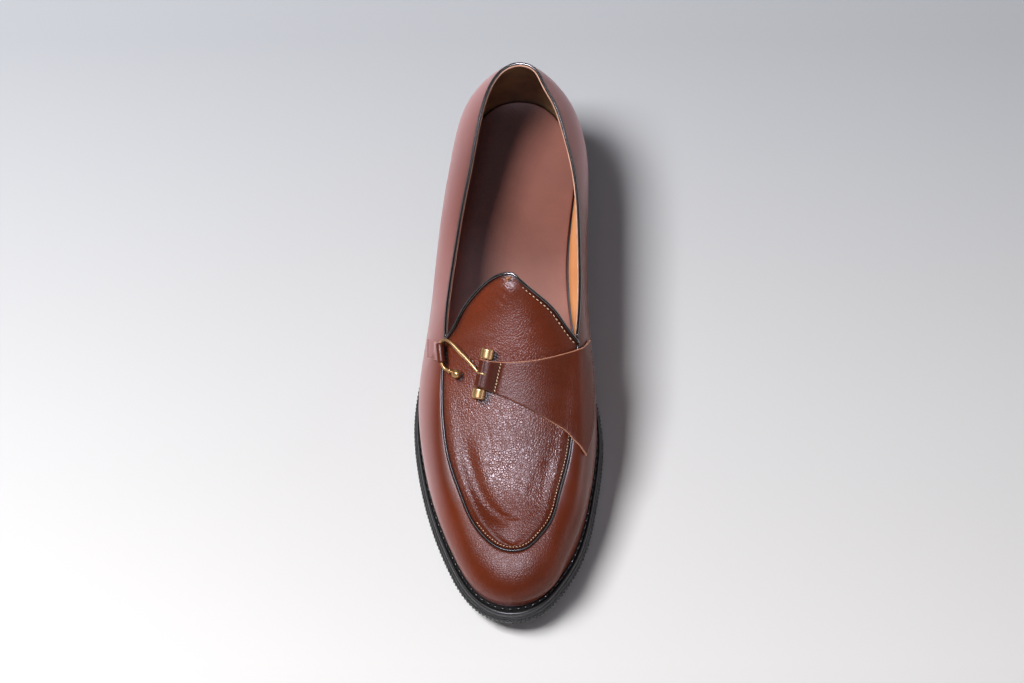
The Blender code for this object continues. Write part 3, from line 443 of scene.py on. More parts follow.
def fill(ring, ids, total, across, hollow=0.0):
    """Points, and a table of vertex numbers, that close a ring from side to side."""
    count = len(ring)
    parts = np.arange(1, across) / across
    added = []
    table = []
    for near in range(count // 2 + 1):
        far = (count - near) % count
        if near == far:
            table.append([ids[near]] * (across + 1))
            continue
        width = np.linalg.norm(ring[far] - ring[near])
        line = ring[near] + (ring[far] - ring[near]) * parts[:, None]
        line[:, 2] -= hollow * (1 - (2 * parts - 1) ** 2) * smooth(width / 0.04)
        added.append(line)
        table.append([ids[near], *range(total, total + across - 1), ids[far]])
        total += across - 1
    return np.vstack(added), table


def slab(centre, normal, half):
    """Upper side, verts and faces of a plate about a grid of middle points."""
    top = centre + normal * half[..., None]
    bottom = centre - normal * half[..., None]
    rows, cols = top.shape[:2]
    count = rows * cols
    ids = np.arange(count).reshape(rows, cols)
    rim = np.concatenate([ids[:, 0], ids[-1, 1:], ids[-2::-1, -1], ids[0, -2:0:-1]])
    faces = grid_faces(ids) + grid_faces((ids + count)[:, ::-1])
    faces += grid_faces(np.array([rim + count, rim]), True)
    return top, np.vstack([top.reshape(-1, 3), bottom.reshape(-1, 3)]), faces


def rounded_half(near, radius, thickness):
    """Half the thickness of a plate whose cut edge is rounded over a radius."""
    full = np.sqrt(np.maximum(1 - (1 - np.minimum(near / radius, 1.0)) ** 2, 0.0))
    return thickness / 2 * (0.35 + 0.65 * full)


def frames(points, closed=False):
    """Two cross directions at each point of a path, turning as little as they can."""
    points = np.asarray(points, float)
    if closed:
        runs = unit(np.roll(points, -1, axis=0) - np.roll(points, 1, axis=0))
    else:
        runs = unit(np.gradient(points, axis=0))
    first = np.cross(runs[0], (0.0, 0.0, 1.0))
    if np.linalg.norm(first) < 0.1:
        first = np.cross(runs[0], (1.0, 0.0, 0.0))
    sides = [unit(first)]
    for run in runs[1:]:
        side = sides[-1] - run * np.dot(sides[-1], run)
        sides.append(unit(side))
    sides = np.array(sides)
    return sides, np.cross(runs, sides)


def tube(points, radii, sides, closed=False):
    """Verts and faces of a round tube along a path; its ends come to a small disc."""
    points = np.asarray(points, float)
    radii = np.broadcast_to(np.asarray(radii, float), len(points))
    one, two = frames(points, closed)
    angles = 2 * np.pi * np.arange(sides) / sides
    ring = one[:, None] * np.cos(angles)[None, :, None] + two[:, None] * np.sin(angles)[None, :, None]
    verts = points[:, None] + ring * radii[:, None, None]
    ids = np.arange(len(points) * sides).reshape(len(points), sides)
    if closed:
        faces = grid_faces(np.vstack([ids, ids[:1]]), True)
    else:
        faces = grid_faces(ids, True) + [ids[0][::-1].tolist(), ids[-1].tolist()]
    return verts.reshape(-1, 3), faces


class Batch:
    """Many small meshes gathered into one."""

    def __init__(self):
        self.verts = []
        self.faces = []
        self.count = 0

    def add(self, verts, faces):
        self.verts.append(np.asarray(verts, float))
        self.faces += [[i + self.count for i in face] for face in faces]
        self.count += len(verts)

    def mesh(self, name, values=None):
        return mesh_of(name, np.vstack(self.verts), self.faces, values)


def run_lengths(points):
    return np.concatenate([[0.0], np.cumsum(np.linalg.norm(np.diff(points, axis=0), axis=1))])


def at_lengths(points, lengths, marks):
    return np.stack([np.interp(marks, lengths, points[:, axis]) for axis in range(3)], -1)


# Points of a stitch: share of its half length, height and girth in its own radii
THREAD = np.array(((-1.0, -2.0, 0.6), (-0.72, 0.0, 0.95), (-0.3, 0.75, 1.0), (0.3, 0.75, 1.0),
                   (0.72, 0.0, 0.95), (1.0, -2.0, 0.6)))


def stitches(batch, line, normals, pitch, share, radius, sink=0.6, slant=0.0):
    """Separate threads along a line, each diving into the leather at both ends."""
    line = np.asarray(line, float)
    lengths = run_lengths(line)
    count = max(1, int(round(lengths[-1] / pitch)))
    for k in range(count):
        middle = lengths[-1] * (k + 0.5) / count
        marks = middle + pitch * share / 2 * THREAD[:, 0]
        points = at_lengths(line, lengths, marks)
        normal = unit(at_lengths(normals, lengths, marks))
        heights = radius * THREAD[:, 1] * np.where(THREAD[:, 1] < 0, sink, 1.0)
        points = points + normal * heights[:, None]
        if slant:
            run = unit(points[-1] - points[0])
            side = np.cross(normal, run)
            points = points + side * (slant * np.linspace(-1, 1, len(marks)))[:, None]
        batch.add(*tube(points, radius * THREAD[:, 2], 7))


# Materials

class Shade:
    """A Principled material and short ways to add nodes to it."""

    def __init__(self, name, roughness, **sockets):
        self.material = bpy.data.materials.new(name)
        self.material.use_nodes = True
        self.tree = self.material.node_tree
        self.shader = self.tree.nodes["Principled BSDF"]
        self.shader.inputs["Roughness"].default_value = roughness
        for key, value in sockets.items():
            self.shader.inputs[key.replace("_", " ")].default_value = value
        self.where = self.add("ShaderNodeTexCoord").outputs["Object"]

    def add(self, kind, links=None, **settings):
        node = self.tree.nodes.new(kind)
        for key, value in settings.items():
            if hasattr(node, key):
                setattr(node, key, value)
            else:
                node.inputs[key.replace("_", " ")].default_value = value
        for key, value in (links or {}).items():
            self.tree.links.new(value, node.inputs[key])
        return node

    def noise(self, scale, detail=3.0):
        node = self.add("ShaderNodeTexNoise", {"Vector": self.where}, Scale=scale, Detail=detail)
        return node.outputs["Fac"]

    def cells(self, scale, feature, **settings):
        return self.add("ShaderNodeTexVoronoi", {"Vector": self.where}, feature=feature, Scale=scale,
                        **settings).outputs["Distance"]

    def value(self, name):
        return self.add("ShaderNodeAttribute", attribute_name=name).outputs["Fac"]

    def span(self, value, low, high, out_low=0.0, out_high=1.0):
        return self.add("ShaderNodeMapRange", {"Value": value}, From_Min=low, From_Max=high, To_Min=out_low,
                        To_Max=out_high).outputs["Result"]

    def times(self, a, b):
        return self.add("ShaderNodeMath", {0: a, 1: b}, operation='MULTIPLY').outputs[0]

    def mix(self, share, a, b):
        node = self.add("ShaderNodeMix", data_type='RGBA')
        self.tree.links.new(share, node.inputs[0])
        for socket, source in ((node.inputs[6], a), (node.inputs[7], b)):
            if isinstance(source, tuple):
                socket.default_value = (*source, 1.0)
            else:
                self.tree.links.new(source, socket)
        return node.outputs[2]

    def bump(self, height, distance, strength=1.0, before=None):
        node = self.add("ShaderNodeBump", {"Height": height}, Distance=distance)
        if isinstance(strength, (int, float)):
            node.inputs["Strength"].default_value = strength
        else:
            self.tree.links.new(strength, node.inputs["Strength"])
        if before is not None:
            self.tree.links.new(before, node.inputs["Normal"])
        return node.outputs["Normal"]

    def finish(self, colour=None, normal=None, roughness=None):
        for key, source in (("Base Color", colour), ("Normal", normal), ("Roughness", roughness)):
            if source is not None:
                self.tree.links.new(source, self.shader.inputs[key])
        return self.material


def linear(level):
    return level / 255 / 12.92 if level <= 10 else ((level / 255 + 0.055) / 1.055) ** 2.4


def rgb(*levels):
    """Linear colour of an sRGB one."""
    return tuple(linear(level) for level in levels)


GRAIN_SCALE = 1150.0
FOLD_COLOUR = rgb(62, 24, 12)
# Painted sheen: the pinkish white mixed into the leather at grazing angles.
PAINTED_SHEEN_COLOUR = rgb(196, 146, 148)


def leather(name, light, dark, edge, roughness, specular, matte=None):
    """Calf leather: fine creased plateaus, cloudy colour, an edge colour that is darker on the upper and
    carries painted shade, and a painted sheen toward grazing angles.
    """
    shade = Shade(name, roughness, Specular_IOR_Level=specular)
    colour = shade.mix(shade.span(shade.noise(18.0), 0.25, 0.75), light, dark)
    colour = shade.mix(shade.span(shade.noise(420.0, 2.0), 0.35, 0.75, 0.0, 0.3), colour, dark)
    colour = shade.mix(shade.span(shade.value("fold"), 0.0, 1.0, 0.0, 0.55), colour, FOLD_COLOUR)
    # Edge colour mixed in by a value at each vertex: on the upper, darker along the seams and at the feather,
    # and painted shade at the apron's front; on strap and loop, the light raw edges, withheld along the
    # strap's front edge as painted shade.
    colour = shade.mix(shade.value("edge_tone_and_painted_shade"), colour, edge)
    # Painted sheen: toward grazing angles the colour is mixed toward a pinkish white, a painted reflection of
    # the bright floor and surroundings, as strong as the sheen value of each vertex.
    facing = shade.add("ShaderNodeLayerWeight", Blend=0.5).outputs["Facing"]
    painted_sheen_share = shade.times(shade.span(facing, 0.12, 0.88), shade.value("painted_sheen"))
    colour = shade.mix(painted_sheen_share, colour, PAINTED_SHEEN_COLOUR)
    grain = shade.value("grain")
    normal = shade.bump(shade.cells(GRAIN_SCALE, 'SMOOTH_F1', Smoothness=0.25), 0.00003, grain)
    crack = shade.span(shade.cells(GRAIN_SCALE * 0.7, 'DISTANCE_TO_EDGE'), 0.0, 0.24)
    normal = shade.bump(crack, 0.00010, grain, normal)
    normal = shade.bump(shade.noise(2600.0, 2.0), 0.00005, 0.4, normal)
    normal = shade.bump(shade.noise(90.0), 0.0006, 0.2, normal)
    rough = shade.span(shade.noise(60.0), 0.3, 0.7, roughness - 0.05, roughness + 0.06)
    if matte is not None:
        gloss = shade.span(shade.value("matte"), 0.0, 1.0, specular, matte)
        shade.tree.links.new(gloss, shade.shader.inputs["Specular IOR Level"])
    return shade.finish(colour, normal, rough)


def lining():
    """Smooth tan leather, with brown suede round the heel."""
    shade = Shade("lining_leather", 0.62, Specular_IOR_Level=0.35)
    heel = shade.span(shade.value("station"), 0.205, 0.215)
    tan = shade.mix(shade.span(shade.noise(30.0, 4.0), 0.3, 0.7), rgb(224, 158, 106), rgb(202, 134, 88))
    suede = shade.mix(shade.span(shade.noise(90.0, 6.0), 0.3, 0.7), rgb(150, 118, 84), rgb(112, 88, 62))
    return shade.finish(shade.mix(heel, suede, tan), shade.bump(shade.noise(1500.0, 4.0), 0.00012, 0.5))


def footbed():
    """Brown leather that pales toward the tongue, where the light falls on it."""
    shade = Shade("footbed_leather", 0.6, Specular_IOR_Level=0.15)
    colour = shade.mix(shade.span(shade.noise(22.0, 4.0), 0.3, 0.7), rgb(150, 98, 88), rgb(124, 80, 70))
    split = shade.add("ShaderNodeSeparateXYZ", {"Vector": shade.where})
    # Painted light: the footbed is painted lighter toward the tongue, where the light falls on it.
    colour = shade.mix(shade.span(split.outputs["Y"], 0.055, 0.010, 0.0, 0.6), colour, rgb(186, 142, 132))
    normal = shade.bump(shade.cells(900.0, 'SMOOTH_F1', Smoothness=0.4), 0.00012, 0.5)
    return shade.finish(colour, shade.bump(shade.noise(60.0, 4.0), 0.0009, 0.3, normal))


# Key: name, roughness, light and dark colour, cloud scale, detail and lowest share,
# bump scale, detail, depth and strength, then further sockets
CLOUDY = {
    "piping": ("dark_piping", 0.2, (12, 9, 9), (24, 16, 14), (200.0, 3.0, 0.35), (900.0, 3.0, 0.00004, 0.4),
               {"Specular_IOR_Level": 1.0, "Coat_Weight": 1.0, "Coat_Roughness": 0.1}),
    "cord": ("dark_cord", 0.34, (12, 9, 9), (24, 16, 14), (200.0, 3.0, 0.35), (900.0, 3.0, 0.00004, 0.4),
             {"Specular_IOR_Level": 0.46, "Coat_Weight": 0.1, "Coat_Roughness": 0.1}),
    "thread": ("cream_thread", 0.7, (240, 222, 194), (206, 176, 140), (1500.0, 2.0, 0.3),
               (6000.0, 2.0, 0.00006, 0.6), {}),
    "brown_thread": ("brown_thread", 0.6, (92, 48, 34), (64, 32, 24), (1500.0, 2.0, 0.3),
                     (6000.0, 2.0, 0.00006, 0.6), {}),
    "black_thread": ("black_thread", 0.28, (34, 34, 34), (18, 18, 19), (1500.0, 2.0, 0.3),
                     (5000.0, 2.0, 0.00008, 0.6), {"Specular_IOR_Level": 0.8}),
    "rubber": ("black_rubber", 0.48, (34, 36, 38), (24, 25, 27), (40.0, 4.0, 0.3),
               (1800.0, 4.0, 0.00008, 0.6), {"Specular_IOR_Level": 0.45}),
    "welt": ("black_welt", 0.34, (38, 40, 40), (24, 24, 25), (50.0, 4.0, 0.3), (1400.0, 4.0, 0.00007, 0.6),
             {"Specular_IOR_Level": 0.5}),
    "brass": ("brass", 0.35, (208, 172, 126), (180, 142, 94), (90.0, 3.0, 0.3), None, {"Metallic": 0.85}),
    "lining_edge": ("lining_edge", 0.55, (226, 180, 158), (196, 146, 122), (300.0, 3.0, 0.3),
                    (1500.0, 2.0, 0.00008, 0.5), {}),
}
# Key: noise scale and detail, then the lowest and highest roughness
UNEVEN = {"rubber": (120.0, 4.0, 0.42, 0.58), "brass": (160.0, 3.0, 0.30, 0.40)}


def cloudy(key):
    """One of the plain materials: two colours in clouds, a fine bump, uneven roughness."""
    name, roughness, light, dark, (scale, detail, low), bump, sockets = CLOUDY[key]
    shade = Shade(name, roughness, **sockets)
    colour = shade.mix(shade.span(shade.noise(scale, detail), low, 0.7), rgb(*light), rgb(*dark))
    normal = rough = None
    if bump:
        normal = shade.bump(shade.noise(*bump[:2]), *bump[2:])
    if key in UNEVEN:
        rough = shade.span(shade.noise(*UNEVEN[key][:2]), 0.3, 0.7, *UNEVEN[key][2:])
    return shade.finish(colour, normal, rough)


MATERIALS = {
    "upper": leather("calf_leather", rgb(114, 47, 22), rgb(88, 35, 16), rgb(52, 22, 14), 0.33, 0.5,
                     matte=0.08),
    "strap": leather("strap_leather", rgb(104, 42, 17), rgb(82, 32, 13), rgb(206, 148, 122), 0.36, 0.3),
    "lining": lining(),
    "footbed": footbed(),
    **{key: cloudy(key) for key in CLOUDY},
}


# Creases of the apron and tongue: station and share across (-1 outer seam, 1 inner seam)
# of each point, then depth, width and how far a ridge stands beside it, in metres
CREASES = (
    (((0.690, -0.70), (0.735, -0.70), (0.780, -0.68), (0.818, -0.56), (0.842, -0.30), (0.852, 0.02)),
     0.00130, 0.0036, 0.0003),
    (((0.826, -0.42), (0.838, -0.22), (0.842, 0.02), (0.838, 0.26)), 0.00032, 0.0009, 0.0001),
    (((0.648, -0.34), (0.668, -0.20), (0.694, -0.08), (0.722, -0.02)), 0.00018, 0.0008, 0.00008),
    (((0.652, -0.22), (0.672, -0.08), (0.696, 0.03), (0.716, 0.08)), 0.00018, 0.0008, 0.00008),
    (((0.656, -0.10), (0.676, 0.06), (0.704, 0.16)), 0.00018, 0.0008, 0.00008),
    (((0.664, 0.06), (0.684, 0.18), (0.706, 0.26)), 0.00014, 0.0008, 0.00006),
    (((0.668, -0.46), (0.694, -0.38), (0.724, -0.34)), 0.00014, 0.0009, 0.00006),
    (((0.728, 0.64), (0.770, 0.62), (0.810, 0.52)), 0.00030, 0.0026, 0.0001),
    (((0.750, 0.44), (0.782, 0.42), (0.812, 0.34)), 0.00018, 0.0018, 0.0001),
    (((0.470, -0.34), (0.477, -0.18), (0.485, -0.04)), 0.00007, 0.0010, 0.00003),
    (((0.480, -0.42), (0.489, -0.26), (0.498, -0.12)), 0.00007, 0.0010, 0.00003),
)


def crown_plan(station, share):
    side = np.sign(share) if share else 1
    half = crown_half(np.float64(station), side)
    return np.array((tongue_centre(station) + share * half, along(station)))


def crease_height(plan, rows, depth, width, ridge):
    """Height of one crease over plan points: a soft trough with a low ridge each side."""
    knots = tuple((float(i), *crown_plan(*row)) for i, row in enumerate(rows))
    steps = np.linspace(0, len(rows) - 1, 10 * len(rows))
    line = np.stack([spline(knots, steps, 1), spline(knots, steps, 2)], -1)
    gaps = np.linalg.norm(plan[:, None] - line[None], axis=2)
    near = gaps.argmin(axis=1)
    distance = gaps[np.arange(len(plan)), near]
    share = near / (len(line) - 1)
    fade = smooth(np.minimum(share, 1 - share) / 0.28)
    return fade * (ridge * bell(distance - 2 * width, width) - depth * bell(distance, width))


class UpperSheet:
    """Outer surface of the upper as one fine open sheet."""

    def __init__(self, collar, apron, tongue, feather_rows, wall_rows, groove_rows, across, groove):
        self.verts = []
        self.faces = []
        self.count = 0
        self.zone = []
        self.gap = []
        self.turns = edge_turns(collar, apron)
        self.collar = collar
        self.columns = len(self.turns)
        self.groove = groove
        self.walls(feather_rows, wall_rows, groove_rows)
        self.crown(tongue, groove_rows, across)
        self.verts = np.vstack(self.verts)
        self.zone = np.concatenate(self.zone)
        self.gap = np.concatenate(self.gap)

    def add(self, points, zone, gap):
        points = np.asarray(points, float).reshape(-1, 3)
        self.verts.append(points)
        self.zone.append(np.full(len(points), zone, float))
        self.gap.append(np.broadcast_to(np.asarray(gap, float), len(points)).copy())
        self.count += len(points)
        return np.arange(self.count - len(points), self.count)

    def seam_share(self, turns):
        past = (fold_turn(turns) - NOTCH_TURN) / (1 - NOTCH_TURN)
        return smooth(past / 0.12)

    def walls(self, feather_rows, wall_rows, groove_rows):
        turns = self.turns
        self.edge = edge_point(turns)
        run = edge_point(turns + 0.003) - edge_point(turns - 0.003)
        rise = self.edge - wall_point(turns, BELOW_EDGE)
        self.run = unit(run)
        self.normals = unit(np.cross(run, rise))
        reach = np.linalg.norm(self.edge - wall_point(turns, 0.9), axis=1) / 0.1
        lip = 1 - SEAM_HALF_WIDTH / reach
        rows = []
        for i in range(feather_rows):
            level = i / feather_rows - 1
            rows.append(self.add(wall_point(turns, level), 0, (1 - level) * reach))
        for i in range(wall_rows):
            level = lip * i / wall_rows
            rows.append(self.add(wall_point(turns, level), 0, (1 - level) * reach))
        share = self.seam_share(turns)
        for i in range(groove_rows + 1):
            part = i / groove_rows
            level = lip + (1 - lip) * part
            sink = self.groove * share * part ** GROOVE_POWER
            points = wall_point(turns, level) - sink[:, None] * self.normals
            rows.append(self.add(points, 0, (1 - level) * reach))
        self.rows = np.array(rows)
        self.faces += grid_faces(self.rows, True)

    def crown(self, tongue, groove_rows, across):
        shares = 1 - np.cos(np.pi / 2 * np.arange(tongue) / tongue)
        station = TONGUE_TIP + (NOTCH - TONGUE_TIP) * shares
        edges = {}
        for side in (-1, 1):
            x = tongue_centre(station) + side * tongue_half(station, side)
            edges[side] = np.stack([x, along(station), tongue_edge_height(station, side)], -1)
        seam = self.rows[-1][self.collar:self.columns - self.collar + 1]
        tip = self.add(edges[-1][:1], 1, 0.0)
        outer = self.add(edges[-1][1:], 1, 0.0)
        inner = self.add(edges[1][1:], 1, 0.0)
        loop = np.concatenate([tip, outer, seam, inner[::-1]])
        true_edge = self.edge[self.collar:self.columns - self.collar + 1]
        ring = np.vstack([edges[-1], true_edge, edges[1][:0:-1]])
        self.ring = ring
        self.seam_start = tongue
        run = unit((np.roll(ring, -1, axis=0) - np.roll(ring, 1, axis=0))[:, :2])
        across_run = np.stack([-run[:, 1], run[:, 0]], -1)
        seam_turns = self.turns[self.collar:self.columns - self.collar + 1]
        depth = np.concatenate([np.zeros(tongue), self.seam_share(seam_turns), np.zeros(tongue - 1)])
        loops = [loop]
        for i in range(1, groove_rows + 1):
            part = i / groove_rows
            points = crown_point(ring[:, :2] + across_run * SEAM_HALF_WIDTH * part)
            points[:, 2] -= self.groove * depth * (1 - part) ** GROOVE_POWER
            loops.append(self.add(points, 1, SEAM_HALF_WIDTH * part))
        for low, high in zip(loops, loops[1:]):
            self.faces += grid_faces(np.array([low, high]), True)
        self.crown_loops = loops
        lips = loops[-1]
        verts = np.vstack(self.verts)
        count = len(loop)
        table = [np.full(across + 1, lips[0])]
        for i in range(1, count // 2):
            start, end = verts[lips[i]][:2], verts[lips[count - i]][:2]
            parts = np.arange(1, across) / across
            plan = start + (end - start) * parts[:, None]
            width = np.linalg.norm(end - start)
            gap = SEAM_HALF_WIDTH + np.minimum(parts, 1 - parts) * width
            middle = self.add(crown_point(plan), 1, gap)
            table.append(np.concatenate([[lips[i]], middle, [lips[count - i]]]))
        table.append(np.full(across + 1, lips[count // 2]))
        self.faces += span_faces(table)


# Upper: strength of the grain on apron, tongue, wall and toe, then of the darkening along the seams,
# at the feather, and of the painted shade at the front of the apron
APRON_GRAIN = 0.75
TONGUE_GRAIN = 0.5
WALL_GRAIN = 0.12
TOE_GRAIN = 0.35
SEAM_DARKENING = 0.75
FEATHER_DARKENING = 0.55
TOE_PAINTED_SHADE = 0.4
# Painted sheen on the outer and inner wall, a painted reflection of the bright surroundings, and how much it
# weakens toward heel and toe
OUTER_PAINTED_SHEEN = (0.95, 0.27, 0.45)
INNER_PAINTED_SHEEN = 0.7
# Dullness of the toe's crown, the toe's wall, and the apron behind the strap
MATTE = (0.85, 0.6, 0.6)
# Rise of the surface beside the seam, and place, height and spread of the swell at the tongue's tip
ROLL_HEIGHT = 0.0005
TIP_PLACE = (0.474, -0.02)
TIP_HEIGHT = 0.0010
TIP_SPREAD = 0.0062


def upper_height(sheet, crown, tip):
    """Height of creases, the roll beside the seam and the tip's swell over the plain surface."""
    plan = sheet.verts[crown][:, :2]
    rise = sum(crease_height(plan, *crease) for crease in CREASES)
    height = np.zeros(len(sheet.verts))
    height[crown] = rise * smooth((sheet.gap[crown] - SEAM_HALF_WIDTH) / 0.002)
    roll = ROLL_HEIGHT * bell(sheet.gap - 0.0044, 0.0028) * crown
    height += roll * smooth((station_of(sheet.verts) - 0.60) / 0.08)
    return height + TIP_HEIGHT * bell(tip, TIP_SPREAD) * crown


def upper_values(sheet, verts, crown, tip):
    """What the leather reads at each vertex: grain, edge tone with painted shade, station, painted sheen and
    dullness.
    """
    station = station_of(verts)
    grain = np.where(crown, APRON_GRAIN, WALL_GRAIN + TOE_GRAIN * smooth((station - 0.82) / 0.06))
    grain = np.where(crown & (station < 0.56), TONGUE_GRAIN, grain)
    grain = grain * np.where(crown, 1 - 0.45 * smooth((station - 0.80) / 0.08), 1.0)
    front = smooth((station - 0.765) / 0.075)
    edge_tone_and_painted_shade = np.maximum(SEAM_DARKENING * bell(sheet.gap, 0.0016), FEATHER_DARKENING * wall_low(sheet))
    # Painted shade: the apron's front is darkened, standing in for the shade of its trough and of its turn
    # away from the light.
    edge_tone_and_painted_shade = np.maximum(edge_tone_and_painted_shade, TOE_PAINTED_SHADE * crown * front * bell(sheet.gap, 0.012))
    outer = OUTER_PAINTED_SHEEN[0] - OUTER_PAINTED_SHEEN[1] * smooth(station / 0.3)
    outer = outer - OUTER_PAINTED_SHEEN[2] * smooth((station - 0.74) / 0.14)
    inner = INNER_PAINTED_SHEEN * (1 - smooth((station - 0.15) / 0.2))
    # Painted sheen on the walls: strongest on the outer wall, only near the heel on the inner wall, none on
    # apron and tongue.
    painted_sheen = np.where(crown, 0.0, np.where(verts[:, 0] < centre_line(station), outer, inner))
    matte = front * np.where(crown, *MATTE[:2])
    back = MATTE[2] * (1 - smooth((station - 0.58) / 0.06)) * smooth((tip - 0.005) / 0.006)
    matte = np.maximum(matte, back * crown)
    return {"grain": grain, "edge_tone_and_painted_shade": edge_tone_and_painted_shade, "station": station, "painted_sheen": painted_sheen, "matte": matte}


def make_upper():
    sheet = UpperSheet(**FINE)
    mesh = mesh_of("upper_leather", sheet.verts, sheet.faces)
    normals = np.zeros(len(sheet.verts) * 3, np.float32)
    mesh.vertex_normals.foreach_get("vector", normals)
    crown = sheet.zone > 0.5
    tip = np.linalg.norm(sheet.verts[:, :2] - crown_plan(*TIP_PLACE), axis=1)
    verts = sheet.verts + normals.reshape(-1, 3).astype(float) * upper_height(sheet, crown, tip)[:, None]
    mesh.vertices.foreach_set("co", verts.astype(np.float32).ravel())
    set_values(mesh, upper_values(sheet, verts, crown, tip))
    mesh.update()
    item = piece(mesh, "upper", "calf_leather", "upper")
    mesh.materials.append(MATERIALS["lining"])
    wall = item.modifiers.new("wall", 'SOLIDIFY')
    wall.thickness = UPPER_WALL
    wall.offset = -1.0
    wall.material_offset = 1
    wall.material_offset_rim = 0
    return sheet


def wall_low(sheet):
    """1 at the feather, fading to 0 a few millimetres up the wall."""
    station = station_of(sheet.verts)
    rise = sheet.verts[:, 2] - feather(station)
    return np.where(sheet.zone < 0.5, bell(np.maximum(rise, 0), 0.0028), 0.0)


def rim_line(points, below, runs, out, up):
    """Line on the rim of the wall, moved in by a share of the wall and up by a height."""
    rise = unit(points - below)
    normal = unit(np.cross(runs, rise))
    return points - normal * out + rise * up


def roll(name, line, radius, sides, material, slot, *replaced):
    """A round edge along a line."""
    piece(mesh_of(name, *tube(line, radius, sides)), material, slot, *replaced)


def make_pipings(sheet):
    collar = sheet.collar
    count = len(sheet.ring)
    order = np.concatenate([np.arange(sheet.columns - collar, sheet.columns), np.arange(0, collar + 1)])
    rim = sheet.edge[order], wall_point(sheet.turns[order], BELOW_EDGE), sheet.run[order]
    middle = UPPER_WALL / 2 - PIPING_SHIFT, PIPING * PIPING_RISE
    line = rim_line(*rim, *middle)[2:-2]
    roll("collar_piping_roll", line, PIPING, 14, "piping", "dark_piping", "collar_piping")
    line = rim_line(*rim, UPPER_WALL - SEAT, SEAT)[2:-2]
    roll("collar_lining_edge", line, LINING_EDGE, 10, "lining_edge", "calf_leather")
    ids = np.concatenate([np.arange(count - sheet.seam_start, count), np.arange(0, sheet.seam_start + 1)])
    points = sheet.ring[ids]
    below = sheet.verts[sheet.crown_loops[-1][ids]]
    line = rim_line(points, below, unit(np.gradient(points, axis=0)), *middle)
    roll("tongue_piping_roll", line, PIPING, 14, "piping", "dark_piping", "tongue_piping")
    seam = np.arange(collar, sheet.columns - collar + 1)
    sunk = SEAT - PIPING_SUNK * sheet.seam_share(sheet.turns[seam])[:, None]
    line = sheet.edge[seam] + sheet.normals[seam] * sunk
    roll("apron_piping_roll", line, APRON_PIPING, 14, "cord", "dark_piping", "apron_piping")


# Stitched lines: inset from the seam, pitch and the share of the pitch that a thread covers
APRON_SEAM = (0.0017, 0.0017, 0.70)
OUTER_SEAM = (0.0016, 0.0017, 0.70)
TONGUE_SEAM = (0.0016, 0.0026, 0.55)
# Station at the outer side where the apron's thread turns from brown to cream
CREAM_FROM = 0.85


def make_seam_stitches(sheet):
    """Threads inside the piping: close ones along the apron, wider ones on the tongue."""
    tree = BVHTree.FromPolygons([tuple(v) for v in sheet.verts], sheet.faces)
    count = len(sheet.ring)
    start = sheet.seam_start
    run = unit((np.roll(sheet.ring, -1, axis=0) - np.roll(sheet.ring, 1, axis=0))[:, :2])
    across = np.stack([-run[:, 1], run[:, 0]], -1)
    toe = int(np.argmax(station_of(sheet.ring) > CREAM_FROM))
    # Name, thread, then for each line its places, inset, pitch, share of the pitch and radius
    for name, thread, lines in (
        ("seam_stitches", "thread", ((np.arange(toe, count - start - 2), *APRON_SEAM, STITCH),
                                     (np.arange(count - start, count - 8), *TONGUE_SEAM, STITCH * 1.1))),
        ("outer_seam_stitches", "brown_thread", ((np.arange(start + 3, toe), *OUTER_SEAM, STITCH),
                                                 (np.arange(9, start + 1), *TONGUE_SEAM, STITCH))),
    ):
        batch = Batch()
        for ids, inset, pitch, share, radius in lines:
            points = crown_point(sheet.ring[ids][:, :2] + across[ids] * inset)
            found = [tree.find_nearest(Vector(p)) for p in points]
            places = np.array([hit[0] for hit in found])
            normals = np.array([hit[1] for hit in found])
            stitches(batch, places, normals, pitch, share, radius)
        piece(batch.mesh(name), thread, "calf_leather")


# How far apart, in station and in degrees, the skin is read for its normal
SKIN_STEP = 0.006
SKIN_TURN = 3.0


class Skin:
    """Reads places over the upper by station and by angle round the foot, 0 at its top."""

    def __init__(self):
        sheet = UpperSheet(**COARSE)
        self.tree = BVHTree.FromPolygons([tuple(v) for v in sheet.verts], sheet.faces)

    def hit(self, station, angle):
        turn = math.radians(angle)
        out = Vector((math.sin(turn), 0.0, math.cos(turn)))
        axis = Vector((0.0, float(along(station)), GIRTH_AXIS_HEIGHT))
        return self.tree.ray_cast(axis + out * OUTSOLE_LENGTH, -out)[0]

    def difference(self, station, angle, station_step, angle_step):
        here = self.hit(station, angle)
        after = self.hit(station + station_step, angle + angle_step) or here
        before = self.hit(station - station_step, angle - angle_step) or here
        return np.array(after - before)

    def normal(self, station, angle):
        run = self.difference(station, angle, -SKIN_STEP, 0.0)
        turn = self.difference(station, angle, 0.0, SKIN_TURN)
        return unit(np.cross(turn, run))

    def over(self, station, angle, height):
        return np.array(self.hit(station, angle)) + height * self.normal(station, angle)


